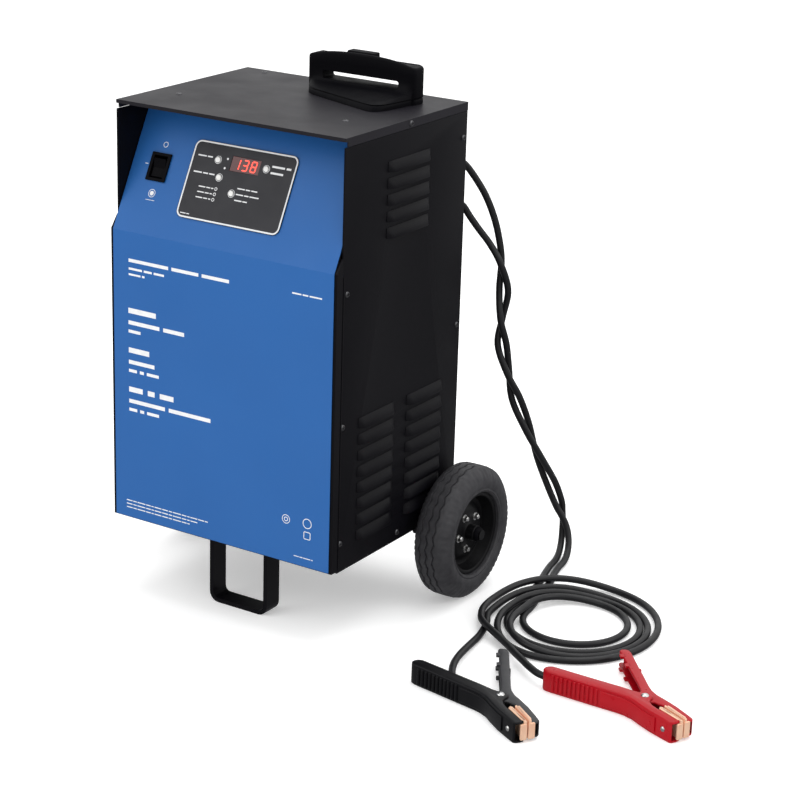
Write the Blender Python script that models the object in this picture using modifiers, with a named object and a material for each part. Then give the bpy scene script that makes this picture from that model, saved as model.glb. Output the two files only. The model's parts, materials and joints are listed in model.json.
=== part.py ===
"""A wheeled workshop battery charger: a sheet-steel cabinet on two wheels and a foot, with a pull-up handle,
a sloping control panel, the works inside and two cables that end in spring clamps.

Metres, +Z up, +X to the charger's right, +Y to its back. The origin is on the floor, under the middle of
the charger's own box, its cables and clamps left out.
"""

import math

import bmesh
import bpy
from mathutils import Matrix, Vector

# Cabinet
HALF_WIDTH = 0.150
FRONT_Y = -0.1395
BACK_Y = 0.0995
BOTTOM_Z = 0.089
TOP_Z = 0.569
SHEET = 0.0015
SIDE_SHEET = 0.0020
SEAM = 0.0005
GAP = 0.0003

# Front panel: an upright face that stands proud of the side panels, then a slope between them
PANEL_Y = -0.1515
FILM = 0.0007
KINK_Z = 0.428
LIP_FRONT_Y = -0.0620
SLOPE_ANGLE = math.radians(27.1)

# Wheels, axle and foot
WHEEL_RADIUS = 0.078
WHEEL_WIDTH = 0.046
WHEEL_X = 0.179
AXLE_Y = 0.0735
AXLE_RADIUS = 0.0060
RIM_RADIUS = 0.0485
FOOT_Y = -0.1040
FOOT_DEPTH = 0.024
FOOT_WIDTH = 0.080
FOOT_BAR = 0.005

# Controls, in the slope's frame: X across, Y up the slope, Z out of it
CONTROL_LOW = (-0.0695, 0.0270)
CONTROL_HIGH = (0.0665, 0.1145)
CONTROL_CORNER = 0.008
BOARD_MARGIN = 0.010
DISPLAY_CENTRE = (0.0015, 0.0946)
DISPLAY_SIZE = (0.0380, 0.0170)
ROCKER_X = -0.1090
ROCKER_S = 0.0760
ROCKER_PIVOT_DEPTH = 0.0040
ROCKER_TILT = math.radians(9)
BUTTON_RADIUS = 0.0032
BUTTONS = {
    "rate_button": (-0.0347, 0.0957),
    "timer_button": (-0.0272, 0.0770),
    "start_button": (0.0290, 0.0951),
    "mode_button": (-0.0060, 0.0623),
}

# Louvres on a side panel: each block's front and back, its lowest mouth, its pitch and its count
LOUVRE_BLOCKS = [
    (-0.0590, 0.0230, 0.4470, 0.0180, 5),
    (-0.1045, -0.0350, 0.1170, 0.0185, 8),
    (-0.0090, 0.0640, 0.1170, 0.0185, 8),
]
LOUVRE_HEIGHT = 0.0105
LOUVRE_OUT = 0.0045

# Fan and mains inlet, behind the back panel
FAN_X = -0.0650
FAN_Z = 0.4350
FAN_HALF = 0.0460
FAN_BLADE = 0.0400
FAN_FRONT_Y = 0.0720
FAN_SLOT_PITCH = 0.0092
INLET_X = -0.0700
INLET_Z = 0.1700

# Pull-up handle
HANDLE_X = 0.0460
HANDLE_Y = 0.0515
HANDLE_HALF_WIDTH = 0.0705
BASE_BOW = 0.046
TUBE_OFFSET = 0.058
INNER_TUBE_RADIUS = 0.0065
OUTER_TUBE_BORE = 0.0070
OUTER_TUBE_RADIUS = 0.0085
BASE_TOP_Z = TOP_Z + 0.0060
LOOP_BOTTOM_Z = BASE_TOP_Z + 0.0005
LOOP_TOP_Z = TOP_Z + 0.0440
LOOP_CROWN = 0.0040
LOOP_DEPTH = 0.022
SLOT_BOTTOM_Z = TOP_Z + 0.0110
SLOT_TOP_Z = TOP_Z + 0.0250
SLOT_HALF_WIDTH = 0.0490
BUTTON_X = 0.0425
BUTTON_HALF = 0.0180
BUTTON_HALF_DEPTH = 0.0065

# Cables
CABLE_RADIUS = 0.004
GLAND_X = 0.125
GLAND_Z = {"red": 0.492, "black": 0.444}
GLAND_END_Y = BACK_Y + 0.030
COIL_CENTRE = (0.327, 0.0705)
COIL_OUTER = 0.106
COIL_INNER = 0.046
COIL_HEIGHT = 0.024
TUBE_STEP = 0.018

# Clamps, drawn lying on their sides with the pivot upright and the jaws towards +X
CLAMP_HEIGHT = 0.024
CLAMP_WALL = 0.0024
PIVOT_RADIUS = 0.0024
CLAMPS = {
    "red": {"pivot": (0.4990, -0.0840), "turn": math.radians(-25)},
    "black": {"pivot": (0.3765, -0.1700), "turn": math.radians(-34)},
}

# The cables come from their glands, twist round each other a quarter turn from one point to the next, and
# bend onto the floor side by side
LEAD_IN = {
    "red": [
        (0.1250, 0.1293, 0.4920), (0.1250, 0.1325, 0.4920), (0.1270, 0.1405, 0.4900),
        (0.1335, 0.1505, 0.4780), (0.1420, 0.1585, 0.4590), (0.1490, 0.1660, 0.4350),
        (0.1540, 0.1730, 0.4080),
    ],
    "black": [
        (0.1250, 0.1293, 0.4440), (0.1250, 0.1325, 0.4440), (0.1265, 0.1390, 0.4425),
        (0.1310, 0.1470, 0.4340), (0.1385, 0.1540, 0.4200), (0.1480, 0.1590, 0.4020),
    ],
}
TWIST_LINE = [
    (0.1595, 0.1700, 0.3770), (0.1625, 0.1745, 0.3390), (0.1620, 0.1735, 0.3050),
    (0.1635, 0.1745, 0.2740), (0.1685, 0.1825, 0.2400), (0.1755, 0.1920, 0.2050),
    (0.1850, 0.2055, 0.1680), (0.1955, 0.2195, 0.1280), (0.2055, 0.2345, 0.0920),
    (0.2125, 0.2445, 0.0640),
]
TWIST_RADIUS = 0.0065
TWIST_ACROSS = (0.84, 0.54, 0.0)
TWIST_AWAY = (-0.54, 0.84, 0.0)
LANDING_CORNER = (0.2260, 0.2610, 0.0046)
LANDING_RADIUS = 0.034
PAIR_ACROSS = (0.9575, 0.2886, 0.0)
PAIR_HALF_GAP = 0.0056
FLOOR_RUN = {
    "red": [(0.2435, 0.1990, 0.0046), (0.2505, 0.1720, 0.0046), (0.2556, 0.1528, 0.0046)],
    "black": [(0.2305, 0.1910, 0.0046), (0.2375, 0.1640, 0.0046), (0.2438, 0.1410, 0.0046)],
}

# Each cable's route from the coil into its clamp's long handle, clear of the other handle's swing
TAIL_ROUTES = {
    "red": [
        (0.2950, -0.0365, 0.0046), (0.3110, -0.0430, 0.0046), (0.3267, -0.0520, 0.0054),
        (0.3420, -0.0640, 0.0080), (0.3560, -0.0755, 0.0110), (0.3722, -0.0830, 0.0120),
        (0.3894, -0.0848, 0.0120),
    ],
    "black": [
        (0.2670, -0.0260, 0.0046), (0.2700, -0.0450, 0.0048), (0.2740, -0.0640, 0.0064),
        (0.2775, -0.0800, 0.0085), (0.2790, -0.0945, 0.0108), (0.2803, -0.1055, 0.0120),
        (0.2845, -0.1172, 0.0120), (0.2935, -0.1325, 0.0120), (0.3110, -0.1560, 0.0120),
    ],
}


def clear_scene():
    """Remove every object, so that only the charger is in the scene."""
    for thing in list(bpy.data.objects):
        bpy.data.objects.remove(thing, do_unlink=True)


def collection(name):
    """A new collection under the scene's own."""
    made = bpy.data.collections.new(name)
    bpy.context.scene.collection.children.link(made)
    return made


clear_scene()
PARTS = collection("battery_charger")
CUTTERS = collection("cutters")


def material(name, colour, roughness, metallic=0.0):
    """A Principled material of one plain finish."""
    made = bpy.data.materials.new(name)
    made.use_nodes = True
    shader = made.node_tree.nodes["Principled BSDF"]
    shader.inputs["Base Color"].default_value = (*colour, 1.0)
    shader.inputs["Roughness"].default_value = roughness
    shader.inputs["Metallic"].default_value = metallic
    return made


FINISHES = {
    "black_steel": ((0.012, 0.012, 0.014), 0.45, 0.2),
    "blue_film": ((0.045, 0.140, 0.420), 0.40, 0.0),
    "charcoal_film": ((0.030, 0.032, 0.038), 0.45, 0.0),
    "black_plastic": ((0.015, 0.015, 0.016), 0.50, 0.0),
    "white_plastic": ((0.800, 0.800, 0.780), 0.40, 0.0),
    "red_window": ((0.350, 0.020, 0.020), 0.15, 0.0),
    "circuit_board": ((0.020, 0.180, 0.060), 0.50, 0.0),
    "core_steel": ((0.200, 0.200, 0.210), 0.50, 0.8),
    "copper": ((0.820, 0.420, 0.260), 0.30, 1.0),
    "aluminium": ((0.600, 0.600, 0.620), 0.35, 1.0),
    "zinc": ((0.650, 0.650, 0.640), 0.30, 1.0),
    "tyre_rubber": ((0.018, 0.018, 0.019), 0.80, 0.0),
    "cable_jacket": ((0.016, 0.016, 0.018), 0.50, 0.0),
    "red_plastic": ((0.550, 0.010, 0.030), 0.40, 0.0),
}


def finish_of(slot, node):
    """The node's own material in one of the charger's finishes."""
    colour, roughness, metallic = FINISHES[slot]
    return material(f"{node}_{slot}", colour, roughness, metallic)


def add(name, mesh, slot):
    """A part named for its node, in its own material."""
    thing = bpy.data.objects.new(name, mesh)
    PARTS.objects.link(thing)
    mesh.materials.append(finish_of(slot, name))
    return thing


def as_guide(thing):
    """Turn an object into a cutter or guide: drawn as wire and left out of the charger."""
    for owner in list(thing.users_collection):
        owner.objects.unlink(thing)
    CUTTERS.objects.link(thing)
    thing.hide_render = True
    thing.display_type = "WIRE"
    return thing


def guide(name, mesh):
    """A new guide object on a mesh."""
    thing = bpy.data.objects.new(name, mesh)
    CUTTERS.objects.link(thing)
    return as_guide(thing)


def boxes_mesh(boxes):
    """One mesh of separate boxes, each given by its low and high corners."""
    work = bmesh.new()
    for low, high in boxes:
        low, high = Vector(low), Vector(high)
        size = Matrix.Diagonal((*(high - low), 1.0))
        bmesh.ops.create_cube(work, size=1.0, matrix=Matrix.Translation((low + high) / 2) @ size)
    mesh = bpy.data.meshes.new("boxes")
    work.to_mesh(mesh)
    work.free()
    return mesh


def rods_mesh(rods, sides=32):
    """One mesh of separate capped cylinders, each given by its two ends and radius."""
    work = bmesh.new()
    for start, end, radius in rods:
        start, end = Vector(start), Vector(end)
        turn = (end - start).to_track_quat("Z", "Y").to_matrix().to_4x4()
        bmesh.ops.create_cone(
            work, cap_ends=True, segments=sides, radius1=radius, radius2=radius,
            depth=(end - start).length, matrix=Matrix.Translation((start + end) / 2) @ turn,
        )
    mesh = bpy.data.meshes.new("rods")
    work.to_mesh(mesh)
    work.free()
    return mesh


def prism_mesh(outline, low, high, frame=Matrix.Identity(4)):
    """A flat outline in a frame's XY plane, made solid between two heights along its Z."""
    drawing = bpy.data.curves.new("outline", "CURVE")
    drawing.dimensions = "2D"
    drawing.fill_mode = "BOTH"
    drawing.extrude = (high - low) / 2
    spline = drawing.splines.new("POLY")
    spline.points.add(len(outline) - 1)
    for point, (x, y) in zip(spline.points, outline):
        point.co = (x, y, 0.0, 1.0)
    spline.use_cyclic_u = True
    return curve_mesh(drawing, frame @ Matrix.Translation((0, 0, (low + high) / 2)))


def curve_mesh(drawing, place):
    """The solid that a curve draws, with its caps welded on, as a mesh in world space."""
    holder = bpy.data.objects.new("drawing", drawing)
    PARTS.objects.link(holder)
    bpy.context.view_layer.update()
    seen = holder.evaluated_get(bpy.context.evaluated_depsgraph_get())
    mesh = bpy.data.meshes.new_from_object(seen)
    bpy.data.objects.remove(holder, do_unlink=True)
    work = bmesh.new()
    work.from_mesh(mesh)
    bmesh.ops.remove_doubles(work, verts=work.verts, dist=1e-6)
    bmesh.ops.recalc_face_normals(work, faces=work.faces)
    work.to_mesh(mesh)
    work.free()
    mesh.transform(place)
    if place.determinant() < 0:
        mesh.flip_normals()
    mesh.materials.clear()
    return mesh


def tube_mesh(points, radius, resolution=2):
    """A round tube along a line of points, with flat capped ends."""
    drawing = bpy.data.curves.new("tube", "CURVE")
    drawing.dimensions = "3D"
    drawing.bevel_depth = radius
    drawing.bevel_resolution = resolution
    drawing.use_fill_caps = True
    spline = drawing.splines.new("POLY")
    spline.points.add(len(points) - 1)
    for point, place in zip(spline.points, points):
        point.co = (*place, 1.0)
    return curve_mesh(drawing, Matrix.Identity(4))


def bored(thing, cutter_mesh, operation="DIFFERENCE"):
    """Cut a guide's shape from a part, or join it on. The guide is parented to the part and moves with it."""
    helper = guide(f"{thing.name}_{operation.lower()}", cutter_mesh)
    helper.parent = thing
    change = thing.modifiers.new(operation.lower(), "BOOLEAN")
    change.operation = operation
    change.solver = "EXACT"
    change.object = helper
    return thing


def joined(thing, extra_mesh):
    """Join a guide's shape onto a part."""
    return bored(thing, extra_mesh, "UNION")


def rounded(thing, width, segments=2, angle=40):
    """Round a part's sharp edges."""
    edge = thing.modifiers.new("rounded", "BEVEL")
    edge.width = width
    edge.segments = segments
    edge.limit_method = "ANGLE"
    edge.angle_limit = math.radians(angle)
    return thing


def smoothed(thing):
    """Shade a round part smooth, with its real corners left sharp."""
    thing.data.shade_smooth()
    thing.data.set_sharp_from_angle(angle=math.radians(35))
    return thing


def turned(name, profile, slot, place, steps=40):
    """A profile of (radius, height) points turned about its own Z axis, then put in place."""
    mesh = bpy.data.meshes.new(name)
    mesh.from_pydata([(r, 0.0, z) for r, z in profile], [(i, i + 1) for i in range(len(profile) - 1)], [])
    thing = add(name, mesh, slot)
    thing.matrix_world = place
    lathe = thing.modifiers.new("lathe", "SCREW")
    lathe.angle = math.radians(360)
    lathe.steps = steps
    lathe.render_steps = steps
    lathe.use_merge_vertices = True
    lathe.merge_threshold = 1e-5
    lathe.use_smooth_shade = True
    return thing


def ring_profile(inner, outer, low, high):
    """The closed section of a plain ring, down its outer side first."""
    return [(outer, high), (outer, low), (inner, low), (inner, high), (outer, high)]


def smooth_line(route, step):
    """Points read from a smooth curve through a route, a step apart."""
    fine = []
    keys = [Vector(p) for p in route]
    ends = [2 * keys[0] - keys[1], *keys, 2 * keys[-1] - keys[-2]]
    for a, b, c, d in zip(ends, ends[1:], ends[2:], ends[3:]):
        for k in range(12):
            t = k / 12
            square, cube = 2 * a - 5 * b + 4 * c - d, 3 * b - a - 3 * c + d
            fine.append(0.5 * (2 * b + (c - a) * t + square * t ** 2 + cube * t ** 3))
    fine.append(keys[-1])
    total = sum((q - p).length for p, q in zip(fine, fine[1:]))
    count = max(2, round(total / step))
    points, walked, target = [fine[0]], 0.0, total / count
    for p, q in zip(fine, fine[1:]):
        span = (q - p).length
        while walked + span >= target - 1e-9 and len(points) < count:
            points.append(p.lerp(q, (target - walked) / span))
            target += total / count
        walked += span
    points.append(fine[-1])
    return points


def arc(centre, radius, start, end, count):
    """Points of an arc in degrees, both ends included."""
    angles = [math.radians(start + (end - start) * i / (count - 1)) for i in range(count)]
    return [(centre[0] + radius * math.cos(a), centre[1] + radius * math.sin(a)) for a in angles]


def round_rectangle(low, high, radius, count=4):
    """A rectangle's outline with round corners."""
    (x0, y0), (x1, y1) = low, high
    corners = [((x1, y1), 0), ((x0, y1), 90), ((x0, y0), 180), ((x1, y0), 270)]
    points = []
    for (x, y), start in corners:
        inward = (math.copysign(radius, (x0 + x1) / 2 - x), math.copysign(radius, (y0 + y1) / 2 - y))
        points += arc((x + inward[0], y + inward[1]), radius, start, start + 90, count)
    return points


# Frames for outlines that aren't drawn on the floor plane
ALONG_X = Matrix(((0, 0, 1, 0), (1, 0, 0, 0), (0, 1, 0, 0), (0, 0, 0, 1)))
FROM_FRONT = Matrix(((1, 0, 0, 0), (0, 0, -1, 0), (0, 1, 0, 0), (0, 0, 0, 1)))
SLOPE = Matrix.Translation((0, PANEL_Y, KINK_Z)) @ Matrix.Rotation(math.radians(90) - SLOPE_ANGLE, 4, "X")


# ---- Cabinet ----

def base_pan():
    """The floor of the cabinet, with its edges folded up inside the side panels."""
    inner = HALF_WIDTH - SIDE_SHEET - 2 * SEAM
    low = (-inner, FRONT_Y + SEAM, BOTTOM_Z)
    high = (inner, BACK_Y - SHEET - SEAM, BOTTOM_Z + 0.014)
    pan = add("base_pan", boxes_mesh([(low, high)]), "black_steel")
    hollow_low = (low[0] + SHEET, low[1] + SHEET, BOTTOM_Z + SHEET)
    hollow_high = (high[0] - SHEET, high[1] - SHEET, high[2] + 0.01)
    return bored(pan, boxes_mesh([(hollow_low, hollow_high)]))


def louvres(side, wall, reach, inset):
    """Hoods pressed out of a side panel, open downwards, or the smaller shapes that hollow them."""
    prisms = bmesh.new()
    for front, back, first, pitch, count in LOUVRE_BLOCKS:
        for row in range(count):
            mouth = first + row * pitch
            crest = mouth + LOUVRE_HEIGHT
            outline = [
                (side * reach, mouth - inset / 2),
                (side * (wall + LOUVRE_OUT - inset), mouth - inset / 2),
                (side * (wall + LOUVRE_OUT - 0.0003 - inset), mouth + 0.0030),
                (side * (wall - inset / 2), crest - inset),
                (side * reach, crest - inset),
            ]
            mesh = prism_mesh(outline, -back + inset, -front - inset, FROM_FRONT)
            prisms.from_mesh(mesh)
            bpy.data.meshes.remove(mesh)
    whole = bpy.data.meshes.new("louvres")
    prisms.to_mesh(whole)
    prisms.free()
    return whole


def side_panel(name, side):
    """A louvred side panel, with a lip inside the top cover and a fold behind the front panel."""
    outer = HALF_WIDTH - GAP
    inner = outer - SIDE_SHEET
    top = TOP_Z - 0.0100
    lip = inner - SIDE_SHEET + 0.0003
    pieces = [
        ((inner, FRONT_Y, BOTTOM_Z + SEAM), (outer, BACK_Y, top)),
        ((lip, LIP_FRONT_Y, top - 0.010), (inner + 0.0003, BACK_Y - 0.02, TOP_Z - 0.003)),
        ((outer - 0.014, FRONT_Y, BOTTOM_Z + 0.016), (outer - 0.001, FRONT_Y + SHEET, KINK_Z - 0.004)),
    ]
    flipped = [
        ((min(side * a[0], side * b[0]), a[1], a[2]), (max(side * a[0], side * b[0]), b[1], b[2]))
        for a, b in pieces
    ]
    panel = add(name, boxes_mesh(flipped[:1]), "black_steel")
    for piece in flipped[1:]:
        joined(panel, boxes_mesh([piece]))
    joined(panel, louvres(side, outer, outer - 0.001, 0.0))
    return bored(panel, louvres(side, outer, inner - 0.001, 0.0012))


def back_panel():
    """The back of the cabinet, with openings for the fan, the mains inlet and the cable glands."""
    half = HALF_WIDTH - SIDE_SHEET - 2 * SEAM
    low = (-half, BACK_Y - 0.012, BOTTOM_Z + 0.016)
    high = (half, BACK_Y, TOP_Z - 0.0105)
    panel = add("back_panel", boxes_mesh([(low, high)]), "black_steel")
    hollow_low = (low[0] + SHEET, low[1] - 0.01, low[2] - 0.01)
    hollow_high = (high[0] - SHEET, BACK_Y - SHEET, high[2] + 0.01)
    bored(panel, boxes_mesh([(hollow_low, hollow_high)]))
    holes = [((x, BACK_Y - 0.02, z), (x, BACK_Y + 0.01, z), 0.0085) for x, z in gland_places()]
    bored(panel, rods_mesh(holes, 24))
    bored(panel, boxes_mesh(fan_slots()))
    low = (INLET_X - 0.0140, BACK_Y - 0.02, INLET_Z - 0.0105)
    high = (INLET_X + 0.0140, BACK_Y + 0.01, INLET_Z + 0.0105)
    return bored(panel, boxes_mesh([(low, high)]))


def fan_slots():
    """Upright slots that fill a circle in front of the fan."""
    slots = []
    for column in range(-4, 5):
        across = column * FAN_SLOT_PITCH
        x = FAN_X + across
        reach = math.sqrt(FAN_BLADE ** 2 - across ** 2) - 0.0010
        slots.append(((x - 0.0026, BACK_Y - 0.02, FAN_Z - reach), (x + 0.0026, BACK_Y + 0.01, FAN_Z + reach)))
    return slots


def gland_places():
    """Where the two cables leave the back panel."""
    return [(GLAND_X, z) for z in GLAND_Z.values()]


def strip(points, thickness):
    """A folded strip's outline: a line of points, and the same line set inwards by a thickness."""
    line = [Vector(p) for p in points]
    inner = []
    for i, here in enumerate(line):
        before = (here - line[i - 1]).normalized() if i else (line[1] - here).normalized()
        after = (line[i + 1] - here).normalized() if i + 1 < len(line) else before
        left = Vector((-before[1], before[0])) + Vector((-after[1], after[0]))
        left.normalize()
        share = max(0.2, left.dot(Vector((-before[1], before[0]))))
        inner.append(here + left * thickness / share)
    return [tuple(p) for p in line] + [tuple(p) for p in reversed(inner)]


def front_profile(inset):
    """The front panel's section in Y and Z, top first, set in from the film's outer face."""
    foot = (PANEL_Y + inset, BOTTOM_Z + 0.002 + inset)
    kink = (PANEL_Y + inset, KINK_Z + inset * math.tan(SLOPE_ANGLE / 2))
    rise = TOP_Z - SHEET - 0.002 - kink[1]
    top = (kink[0] + rise * math.tan(SLOPE_ANGLE), kink[1] + rise)
    return [top, kink, foot]


def front_panel():
    """The folded front panel: an upright face with side and bottom returns, and a slope with a top fold."""
    top, kink, foot = front_profile(FILM + GAP)
    back = FRONT_Y - SEAM
    line = [(top[0] + 0.014, top[1]), top, kink, foot, (back, foot[1])]
    slope_half = HALF_WIDTH - SIDE_SHEET - 2 * SEAM
    sheet = prism_mesh(strip(line, SHEET), -slope_half, slope_half, ALONG_X)
    panel = add("front_panel", sheet, "black_steel")
    cheek = [foot, (back, foot[1]), (back, kink[1] + 0.0140), kink]
    for side in (-1, 1):
        span = sorted((side * (slope_half - 0.001), side * HALF_WIDTH))
        joined(panel, prism_mesh(cheek, *span, ALONG_X))
    hollow = [
        (FRONT_Y, foot[1] + SHEET), (foot[0] + SHEET, foot[1] + SHEET), (kink[0] + SHEET, kink[1] - 0.0006),
        (FRONT_Y, kink[1] + 0.0115),
    ]
    for side in (-1, 1):
        span = sorted((side * (slope_half - 0.002), side * (HALF_WIDTH - SHEET)))
        bored(panel, prism_mesh(hollow, *span, ALONG_X))
    bored(panel, prism_mesh(board_window(), -0.02, 0.01, SLOPE))
    return bored(panel, prism_mesh(rocker_hole(), -0.02, 0.01, SLOPE))


def board_window():
    """The opening behind the control panel, in the slope's frame."""
    margin = CONTROL_CORNER
    low = (CONTROL_LOW[0] + margin, CONTROL_LOW[1] + margin)
    high = (CONTROL_HIGH[0] - margin, CONTROL_HIGH[1] - margin)
    return round_rectangle(low, high, 0.002)


def rocker_hole():
    """The cut-out that the power switch's body passes through, in the slope's frame."""
    return [
        (ROCKER_X + sx * 0.0113, ROCKER_S + ss * 0.0143)
        for sx, ss in ((-1, -1), (1, -1), (1, 1), (-1, 1))
    ]


def front_film():
    """The blue printed sheet on the front panel, folded at the kink."""
    top, kink, foot = front_profile(0.0)
    half = HALF_WIDTH - 0.0035
    outline = strip([(top[0] - 0.002, top[1] - 0.004), kink, (foot[0], foot[1] + 0.002)], FILM)
    film = add("front_film", prism_mesh(outline, -half, half, ALONG_X), "blue_film")
    bored(film, prism_mesh(board_window(), -0.02, 0.01, SLOPE))
    return bored(film, prism_mesh(rocker_hole(), -0.02, 0.01, SLOPE))


def top_cover():
    """The lid, its edges folded down outside the side panels, with slots for the handle's tubes."""
    low = (-HALF_WIDTH, FRONT_Y, TOP_Z - 0.0095)
    high = (HALF_WIDTH, BACK_Y, TOP_Z)
    cover = add("top_cover", boxes_mesh([(low, high)]), "black_steel")
    hollow_low = (low[0] + SHEET, low[1] + SHEET, low[2] - 0.01)
    hollow_high = (high[0] - SHEET, high[1] - SHEET, TOP_Z - SHEET)
    front_cut = ((-0.2, FRONT_Y - 0.01, low[2] - 0.01), (0.2, FRONT_Y + 0.004, TOP_Z - 0.004))
    bored(cover, boxes_mesh([(hollow_low, hollow_high)]))
    bored(cover, boxes_mesh([front_cut]))
    return bored(cover, tube_holes(OUTER_TUBE_RADIUS + GAP))


# ---- Controls, in the slope's frame: X across, Y up the slope, Z out of it ----

def centred(centre, size):
    """Low and high corners of a rectangle about its centre."""
    return (
        (centre[0] - size[0] / 2, centre[1] - size[1] / 2),
        (centre[0] + size[0] / 2, centre[1] + size[1] / 2),
    )


def control_panel():
    """The thin plate that covers the board, with holes for the display and the buttons."""
    outline = round_rectangle(CONTROL_LOW, CONTROL_HIGH, CONTROL_CORNER)
    plate = add("control_panel", prism_mesh(outline, GAP, GAP + 0.0012, SLOPE), "charcoal_film")
    low, high = centred(DISPLAY_CENTRE, DISPLAY_SIZE)
    bored(plate, prism_mesh([low, (high[0], low[1]), high, (low[0], high[1])], -0.01, 0.01, SLOPE))
    rods = [((*place, -0.01), (*place, 0.01), BUTTON_RADIUS + GAP) for place in BUTTONS.values()]
    holes = rods_mesh(rods, 20)
    holes.transform(SLOPE)
    return bored(plate, holes)


def slope_block(name, low, high, slot):
    """A box in the slope's frame."""
    mesh = boxes_mesh([(low, high)])
    mesh.transform(SLOPE)
    return add(name, mesh, slot)


def display_window():
    """The tinted window in front of the digits."""
    size = (DISPLAY_SIZE[0] - 2 * GAP, DISPLAY_SIZE[1] - 2 * GAP)
    low, high = centred(DISPLAY_CENTRE, size)
    return slope_block("display_window", (*low, -0.0006), (*high, 0.0011), "red_window")


def display_module():
    """The block of digits on the board, behind its window."""
    low, high = centred(DISPLAY_CENTRE, (0.0400, 0.0190))
    return slope_block("display_module", (*low, -0.0117), (*high, -0.0020), "black_plastic")


def control_board():
    """The circuit board behind the control panel."""
    low = (CONTROL_LOW[0] + BOARD_MARGIN, CONTROL_LOW[1] + BOARD_MARGIN, -0.0136)
    high = (CONTROL_HIGH[0] - BOARD_MARGIN, CONTROL_HIGH[1] - BOARD_MARGIN, -0.0120)
    return slope_block("control_board", low, high, "circuit_board")


def push_button(name, place):
    """A round push button, its origin on its own axis at the panel's face."""
    profile = [
        (0.0, 0.0030), (BUTTON_RADIUS - 0.0006, 0.0030), (BUTTON_RADIUS, 0.0024), (BUTTON_RADIUS, -0.0105),
        (0.0, -0.0105),
    ]
    return turned(name, profile, "white_plastic", SLOPE @ Matrix.Translation((*place, 0.0)), 20)


def rocker_housing():
    """The power switch's body and bezel, with a pocket for the rocker."""
    bezel = centred((ROCKER_X, ROCKER_S), (0.0260, 0.0320))
    body = centred((ROCKER_X, ROCKER_S), (0.0220, 0.0280))
    pocket = centred((ROCKER_X, ROCKER_S), (0.0180, 0.0250))
    housing = slope_block("rocker_housing", (*bezel[0], GAP), (*bezel[1], 0.0024), "black_plastic")
    rest = boxes_mesh([((*body[0], -0.0200), (*body[1], 0.0012))])
    rest.transform(SLOPE)
    joined(housing, rest)
    hole = boxes_mesh([((*pocket[0], -0.0120), (*pocket[1], 0.0100))])
    hole.transform(SLOPE)
    return bored(housing, hole)


def rocker_frame():
    """The rocker's own frame: its X axis is the pivot."""
    return SLOPE @ Matrix.Translation((ROCKER_X, ROCKER_S, -ROCKER_PIVOT_DEPTH))


def power_rocker():
    """The rocker, tilted with its lower end pressed in."""
    outline = [
        (-0.0105, 0.0060), (0.0, 0.0042), (0.0105, 0.0060), (0.0108, -0.0010), (0.0050, -0.0060),
        (-0.0050, -0.0060), (-0.0108, -0.0010),
    ]
    mesh = prism_mesh(outline, -0.0082, 0.0082, Matrix.Rotation(ROCKER_TILT, 4, "X") @ ALONG_X)
    rocker = add("power_rocker", mesh, "black_plastic")
    rocker.matrix_world = rocker_frame()
    return rounded(rocker, 0.0005, 1)


# ---- Works ----

def transformer_core():
    """The laminated core: two windows with the winding's leg between them."""
    low = (-0.0700, -0.1050, BOTTOM_Z + SHEET + GAP)
    high = (0.0700, -0.0350, low[2] + 0.1150)
    core = add("transformer_core", boxes_mesh([(low, high)]), "core_steel")
    windows = []
    for middle in (-0.0340, 0.0340):
        window_low = (middle - 0.0120, low[1] - 0.01, low[2] + 0.0200)
        window_high = (middle + 0.0120, high[1] + 0.01, high[2] - 0.0200)
        windows.append((window_low, window_high))
    return bored(core, boxes_mesh(windows))


def transformer_coil():
    """The copper winding round the core's middle leg."""
    z0 = BOTTOM_Z + SHEET + GAP
    low, high = (-0.0440, -0.1180, z0 + 0.0215), (0.0440, -0.0220, z0 + 0.0935)
    coil = add("transformer_coil", boxes_mesh([(low, high)]), "copper")
    leg = ((-0.0223, -0.1053, low[2] - 0.01), (0.0223, -0.0347, high[2] + 0.01))
    rounded(coil, 0.006, 2)
    return bored(coil, boxes_mesh([leg]))


def rectifier_plate():
    """The rectifier's finned heat sink, standing on its own leg above the transformer."""
    z0, z1 = 0.2450, 0.3350
    foot = BOTTOM_Z + SHEET + GAP
    sink = add("rectifier_plate", boxes_mesh([((-0.0900, -0.0200, z0), (0.0700, -0.0140, z1))]), "aluminium")
    for fin in range(9):
        x = -0.0880 + fin * 0.0190
        joined(sink, boxes_mesh([((x, -0.0430, z0 + 0.002), (x + 0.003, -0.0195, z1 - 0.002))]))
    joined(sink, boxes_mesh([((-0.0850, -0.0190, foot), (0.0650, -0.0150, z0 + 0.01))]))
    return joined(sink, boxes_mesh([((-0.0850, -0.0190, foot), (0.0650, 0.0100, foot + 0.0030))]))


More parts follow.
